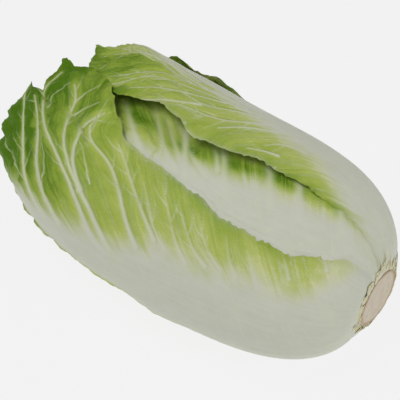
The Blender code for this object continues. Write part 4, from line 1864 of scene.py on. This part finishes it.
def front_leaf() -> LeafPlan:
    """The wide front leaf, whose midrib faces the front.

    Returns:
        Its plan.
    """
    return LeafPlan(
        node="outer_leaf_2",
        whorl=Whorl.OUTER,
        centre=((0, 88), (0.3, 88), (0.6, 94), (1, 90)),
        low=(
            (0.06, 28), (0.10, 12), (0.16, 15), (0.20, 23), (0.26, 31), (0.38, 30.5), (0.45, 25.5),
            (0.55, 21.5), (0.605, 19), (0.635, 11), (0.66, 3), (0.68, -3), (0.71, -7), (0.745, -9.5),
            (0.777, -8.5), (0.793, -11), (0.815, -15), (1, -15),
        ),
        high=((0.06, 140), (0.3, 148), (0.7, 156), (1, 156)),
        end=(
            (-1, 0.807), (-0.97, 0.806), (-0.93, 0.804), (-0.87, 0.809), (-0.82, 0.811), (-0.77, 0.807),
            (-0.73, 0.811), (-0.70, 0.862), (-0.67, 0.882), (-0.62, 0.873), (-0.55, 0.872),
            (-0.45, 0.870), (-0.3, 0.866), (-0.1, 0.860), (0.5, 0.875), (1, 0.83),
        ),
        leans=((0.888, 20, 0.035, 13, -14.5),),
        fade=21 * MM,
        lobes=0.0025,
        low_sink=(
            (0, 0.0005), (0.07, 0.001), (0.12, 0.0028), (0.25, 0.0055), (0.42, 0.0075), (0.58, 0.0085),
            (0.66, 0), (1, 0),
        ),
        high_sink=((0, 0.002), (1, 0.002)),
        swells=(
            (0.46, 118, 0.05, 22, 0.0027), (0.69, 118, 0.06, 22, -0.0012), (0.77, 118, 0.03, 15, 0.0012),
            (0.80, 108, 0.09, 32, -0.0037), (0.665, 5, 0.02, 6, 0.0025),
        ),
        fine_veins=(
            ((0.715, 61), (0.72, 51.5), (0.738, 42.5), (0.757, 35.5)),
            ((0.624, 46.5), (0.642, 40), (0.656, 33), (0.674, 30)),
            ((0.709, 20.5), (0.696, 13), (0.678, 8.5)),
            ((0.77, 22.5), (0.77, 12.5), (0.759, 4)),
            ((0.723, 13), (0.713, 5), (0.70, -0.5)),
            ((0.779, 53.5), (0.803, 51), (0.837, 47.5)),
            ((0.762, 68), (0.79, 65), (0.819, 59)),
            ((0.78, 67.5), (0.819, 62), (0.878, 55.5)),
        ),
        rib_low=(
            (0.10, 4), (0.128, 10), (0.15, 27), (0.174, 38.5), (0.233, 51), (0.288, 52), (0.395, 58),
            (0.467, 60), (0.512, 66), (0.6, 72), (0.68, 74), (0.757, 78), (0.85, 82),
        ),
        rib_high=((0.06, 134), (0.33, 126), (0.42, 112), (0.5, 106), (0.6, 103), (0.75, 99), (0.85, 95)),
        veins=(
            ((0.70, 80), (0.754, 68.5), (0.787, 49), (0.819, 35), (0.871, 16.5), (0.883, 7)),
            ((0.66, 76), (0.713, 63.5), (0.738, 53), (0.762, 37.5), (0.806, 23), (0.824, 18.5)),
            (
                (0.57, 75), (0.596, 68.5), (0.648, 53.5), (0.707, 41), (0.754, 32.5), (0.779, 25),
                (0.803, 10), (0.795, -1.5),
            ),
            (
                (0.55, 72), (0.577, 65), (0.626, 53.5), (0.678, 41.5), (0.71, 30.5), (0.717, 21),
                (0.722, 13.5), (0.748, 4.5),
            ),
            ((0.635, 51.5), (0.655, 45.5), (0.671, 39.5), (0.678, 31.5), (0.679, 22), (0.665, 14.5)),
            (
                (0.502, 63), (0.531, 55.5), (0.582, 40.5), (0.617, 32), (0.661, 26), (0.671, 20),
                (0.658, 12.5),
            ),
            ((0.476, 55.5), (0.516, 46.5), (0.562, 36), (0.595, 27.5), (0.614, 22.5)),
            ((0.451, 57), (0.482, 51.5), (0.516, 40.5), (0.542, 33)),
            ((0.409, 58), (0.44, 51), (0.471, 41), (0.51, 29)),
            ((0.376, 55), (0.403, 51), (0.433, 43.5), (0.463, 34)),
            ((0.349, 53), (0.376, 49), (0.401, 42.5), (0.425, 33.5)),
            ((0.321, 53), (0.344, 46), (0.363, 37)),
            ((0.282, 52), (0.3, 46), (0.319, 38.5)),
            ((0.238, 42), (0.253, 35.5), (0.267, 30.5)),
            ((0.186, 28), (0.196, 23.5), (0.204, 20)),
        ),
        vein_starts={Edge.HIGH: VEIN_STARTS},
        vein_lean={Edge.HIGH: PLAIN_LEAN},
        seen=(-1.0, -0.12),
        teeth=((0.1, 1.7), (0.32, 1.9), (0.4, 1), (0.5, 0.8), (1, 0.8)),
        side_spacing=9 * MM,
        creases=1.25,
        rows=300,
        columns=282,
        seed=12,
    )


def upper_leaf() -> LeafPlan:
    """The leaf along the upper back, whose lower margin is lifted clear of the next one.

    Returns:
        Its plan.
    """
    return LeafPlan(
        node="outer_leaf_3",
        whorl=Whorl.OUTER,
        centre=((0, -56), (0.4, -56), (0.7, -48), (1, -46)),
        low=((0.06, -112), (0.3, -120), (1, -124)),
        high=(
            (0.06, 0), (0.13, -6), (0.21, -9), (0.27, -6), (0.37, -3), (0.45, 2), (0.50, 4), (0.54, -2),
            (0.59, -5), (0.62, -2), (0.66, 1), (0.70, -3), (1, -8),
        ),
        end=(
            (-1, 0.78), (-0.5, 0.82), (-0.2, 0.815), (0.06, 0.805), (0.3, 0.785), (0.6, 0.768), (1, 0.75),
        ),
        low_sink=((0, 0.001), (0.15, 0.003), (1, 0.003)),
        lobes=0.004,
        creases=0.45,
        fade=20 * MM,
        side_spacing=11 * MM,
        high_sink=(
            (0, 0.0005), (0.07, 0.001), (0.12, 0.003), (0.22, 0.005), (0.3, 0.002), (0.38, -0.001),
            (0.5, -0.002), (0.62, 0), (0.7, 0.003), (1, 0.004),
        ),
        swells=(
            (0.44, -66, 0.13, 25, -0.0036), (0.715, -60, 0.05, 25, 0.0056), (0.70, -50, 0.05, 14, 0.0026),
            (0.13, -75, 0.07, 30, -0.0015),
        ),
        firm_from=0.28,
        rib_low=((0.14, -104), (0.3, -90), (0.47, -80), (0.56, -72), (0.65, -60), (0.75, -52)),
        rib_high=(
            (0.14, -8), (0.18, -12), (0.219, -14), (0.29, -22.5), (0.376, -25), (0.471, -32), (0.56, -40),
            (0.65, -45), (0.75, -48),
        ),
        veins=(
            (
                (0.50, -40), (0.56, -30), (0.603, -29), (0.642, -26), (0.666, -19), (0.692, -13),
                (0.715, -7.5),
            ),
            ((0.50, -27), (0.542, -21.5), (0.58, -18.5), (0.619, -13), (0.653, -7)),
            ((0.572, -36), (0.653, -41), (0.702, -38), (0.738, -29), (0.751, -25)),
            ((0.459, -38), (0.516, -38), (0.58, -40), (0.652, -53), (0.694, -51.5), (0.735, -49)),
            ((0.487, -33.5), (0.546, -32), (0.603, -35), (0.669, -46), (0.72, -49.5), (0.757, -47.5)),
            (
                (0.469, -32.5), (0.52, -30.5), (0.572, -30.5), (0.627, -34), (0.676, -40.5),
                (0.718, -38.5), (0.761, -34.5),
            ),
            (
                (0.455, -29.5), (0.507, -28.5), (0.556, -26), (0.606, -24), (0.643, -21), (0.663, -13.5),
                (0.694, -3.5),
            ),
            ((0.528, -15.5), (0.582, -8.5), (0.612, -3)),
            ((0.438, -29.5), (0.474, -24.5), (0.521, -17), (0.578, -19)),
            ((0.401, -30.5), (0.429, -24), (0.479, -13), (0.556, -9.5)),
            ((0.391, -25), (0.432, -17.5), (0.473, -7)),
            ((0.362, -10.5), (0.385, -8.5), (0.411, -5)),
            ((0.331, -23), (0.363, -20), (0.391, -11.5)),
        ),
        fine_veins=(((0.663, -36), (0.702, -37.5), (0.723, -27.5), (0.739, -14)),),
        vein_width=(1.3 * MM, 0.55 * MM),
        tints_and_shadows=((0.80, -45, 0.08, 50, -0.22), (0.22, -10, 0.07, 8, 0.2)),
        vein_starts={Edge.LOW: VEIN_STARTS},
        vein_lean={Edge.LOW: PLAIN_LEAN},
        seen=(-0.8, 1.0),
        teeth=((0.1, 1.2), (0.33, 1.8), (0.45, 0.7), (1, 0.7)),
        rows=288,
        columns=240,
        seed=13,
    )


def under_leaf() -> LeafPlan:
    """The leaf under the front, which shows below the front leaf.

    Returns:
        Its plan.
    """
    return plain(
        "outer_leaf_4",
        Whorl.OUTER,
        162,
        low=((0.06, 112), (0.3, 98), (0.7, 92), (1, 92)),
        high=((0.06, 212), (0.3, 226), (0.7, 232), (1, 232)),
        end=((-1, 0.82), (-0.5, 0.87), (0.1, 0.885), (0.6, 0.86), (1, 0.80)),
        depth=((0, 0.001), (1, 0.001)),
        rise=0.3 * MM,
        low_sink=((0, 0.003), (1, 0.003)),
        high_sink=((0, 0.003), (1, 0.003)),
        rows=240,
        columns=150,
        greenness=0.1,
        seed=14,
    )


def recessed_leaf() -> LeafPlan:
    """The recessed leaf in the opening between the front and the upper leaf.

    Returns:
        Its plan.
    """
    return LeafPlan(
        node="outer_leaf_5",
        whorl=Whorl.OUTER,
        centre=((0.06, 2), (0.17, 6), (0.27, 12), (0.38, 16), (0.5, 12), (0.62, 6), (1, 2)),
        low=((0.06, -52), (0.3, -54), (0.7, -66), (1, -68)),
        high=((0.06, 58), (0.3, 74), (0.7, 80), (1, 80)),
        end=((-1, 0.80), (0, 0.84), (1, 0.80)),
        depth=(
            (0, 0), (0.07, 0.0005), (0.12, 0.0025), (0.25, 0.005), (0.42, 0.0075), (0.6, 0.0095),
            (0.75, 0.016), (1, 0.018),
        ),
        rise=0.5 * MM,
        low_sink=((0, 0.001), (0.4, 0.002), (1, 0.004)),
        high_sink=((0, 0.001), (1, 0.002)),
        rib_low=(
            (0.10, 2), (0.14, -1), (0.18, -5), (0.236, 0.5), (0.277, 5), (0.372, 7), (0.412, 10),
            (0.481, 15), (0.526, 17), (0.62, 18), (0.7, 17),
        ),
        rib_high=((0.06, 40), (0.3, 40), (0.5, 34), (0.65, 26), (0.8, 20)),
        veins=(
            ((0.582, 18.5), (0.617, 10.5), (0.645, 3.5), (0.67, -4)),
            ((0.505, 19), (0.547, 11.5), (0.582, 1), (0.61, -8)),
            ((0.471, 17), (0.507, 13), (0.541, 5), (0.575, -5)),
            ((0.448, 15), (0.487, 10), (0.515, 4.5), (0.545, -4)),
            ((0.435, 9.5), (0.45, 3.5), (0.468, -3)),
            ((0.62, 20), (0.65, 12), (0.675, 5), (0.69, -2)),
        ),
        vein_width=(3.6 * MM, 1.7 * MM),
        side_spacing=60 * MM,
        firm_from=0.62,
        wedge=2 * MM,
        fade=15 * MM,
        swells=((0.57, -2, 0.10, 13, -0.004),),
        # painted shadow: a darker green band along the upper leaf's lifted edge
        tints_and_shadows=(
            (0.62, 2, 0.05, 7, 0.35), (0.50, 7, 0.05, 4.5, 0.55), (0.42, 2, 0.06, 4.5, 0.6),
            (0.33, -3, 0.06, 4.5, 0.65), (0.24, -8, 0.06, 4.5, 0.5),
        ),
        vein_starts={Edge.LOW: VEIN_STARTS[2:11:2], Edge.HIGH: VEIN_STARTS},
        vein_lean={Edge.LOW: ((0.1, 56.0), (0.6, 52.0)), Edge.HIGH: PLAIN_LEAN},
        seen=(-0.5, 0.6),
        rows=255,
        columns=180,
        seed=15,
    )


def inside_leaf(whorl: Whorl, n: int, turn: float) -> LeafPlan:
    """A leaf of one of the whorls inside the outer one.

    Args:
        whorl: Which whorl.
        n: Its number in the whorl.
        turn: Its midrib's angle.

    Returns:
        The leaf's plan.
    """
    name, depth, count, greenness, seed = {
        Whorl.MIDDLE: ("middle_leaf", 0.009, (120, 90), -0.15, 21),
        Whorl.INNER: ("inner_leaf", 0.019, (90, 60), -0.3, 41),
    }[whorl]
    return plain(
        f"{name}_{n + 1}",
        whorl,
        turn,
        low=((0.06, turn - 52), (0.4, turn - 62), (1, turn - 72)),
        high=((0.06, turn + 52), (0.4, turn + 62), (1, turn + 72)),
        end=((-1, 0.80), (-0.6, 0.875), (0, 0.90), (0.6, 0.875), (1, 0.80)),
        depth=hollow_at_tip(depth / 2, depth),
        rows=count[0],
        columns=count[1],
        greenness=greenness,
        seed=seed + n,
    )


@dataclass
class Head:
    """The whole head: its leaves from the outside in, its heart and its cut stem."""

    first_turn: float = -126.0
    divergence: float = -144.0  # from one leaf to the next, as on the real plant
    inside_leaves: int = 5
    heart_depth: float = 0.028

    def plans(self) -> list[LeafPlan]:
        """Plans all the leaves.

        Returns:
            Their plans, in packing order.
        """
        made = [back_leaf(), front_leaf(), upper_leaf(), under_leaf(), recessed_leaf()]
        for whorl in (Whorl.MIDDLE, Whorl.INNER):
            for n in range(self.inside_leaves):
                made.append(inside_leaf(whorl, n, self.first_turn + self.divergence * n))
        return made

    def build(self) -> None:
        """Builds every piece and reports it."""
        packing, crinkle, ring = Packing(), crinkle_tool(), ring_tool()
        finishes = {whorl: LeafFinish(whorl.value).make() for whorl in Whorl}
        for plan in self.plans():
            piece = LeafShape(plan, packing, crinkle).build(finishes[plan.whorl])
            self.settle_in(piece, plan.whorl.value, plan.node)
        heart = HeartShape(packing, hollow_at_tip(0.6 * self.heart_depth, self.heart_depth))
        self.settle_in(heart.build(finishes[Whorl.INNER], crinkle), Whorl.INNER.value, "heart_leaves")
        stem, straw = CutStem(), FibreFinish("torn_fibre").make()
        self.settle_in(stem.build(CutStemFinish("cut_flesh").make()), "cut_stem", "cut_stem")
        for piece in (stem.vessels(ring, straw), *stem.torn_bases(ring, straw)):
            self.settle_in(piece, "cut_stem")

    @staticmethod
    def settle_in(piece: Any, slot: str, node: str | None = None) -> None:
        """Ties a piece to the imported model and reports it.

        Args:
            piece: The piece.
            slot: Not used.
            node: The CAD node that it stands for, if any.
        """
        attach(piece, "root")
        if node:
            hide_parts(node)
        piece.data.calc_loop_triangles()
        LOG.info("%s: %d triangles", piece.name, len(piece.data.loop_triangles))


def write_size() -> None:
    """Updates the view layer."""
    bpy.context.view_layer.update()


def main() -> None:
    """Builds the head and the studio round it."""
    logging.basicConfig(level=logging.INFO, format="%(message)s")
    Head().build()
    Studio().build()
    write_size()


if __name__ == "__main__":
    main()
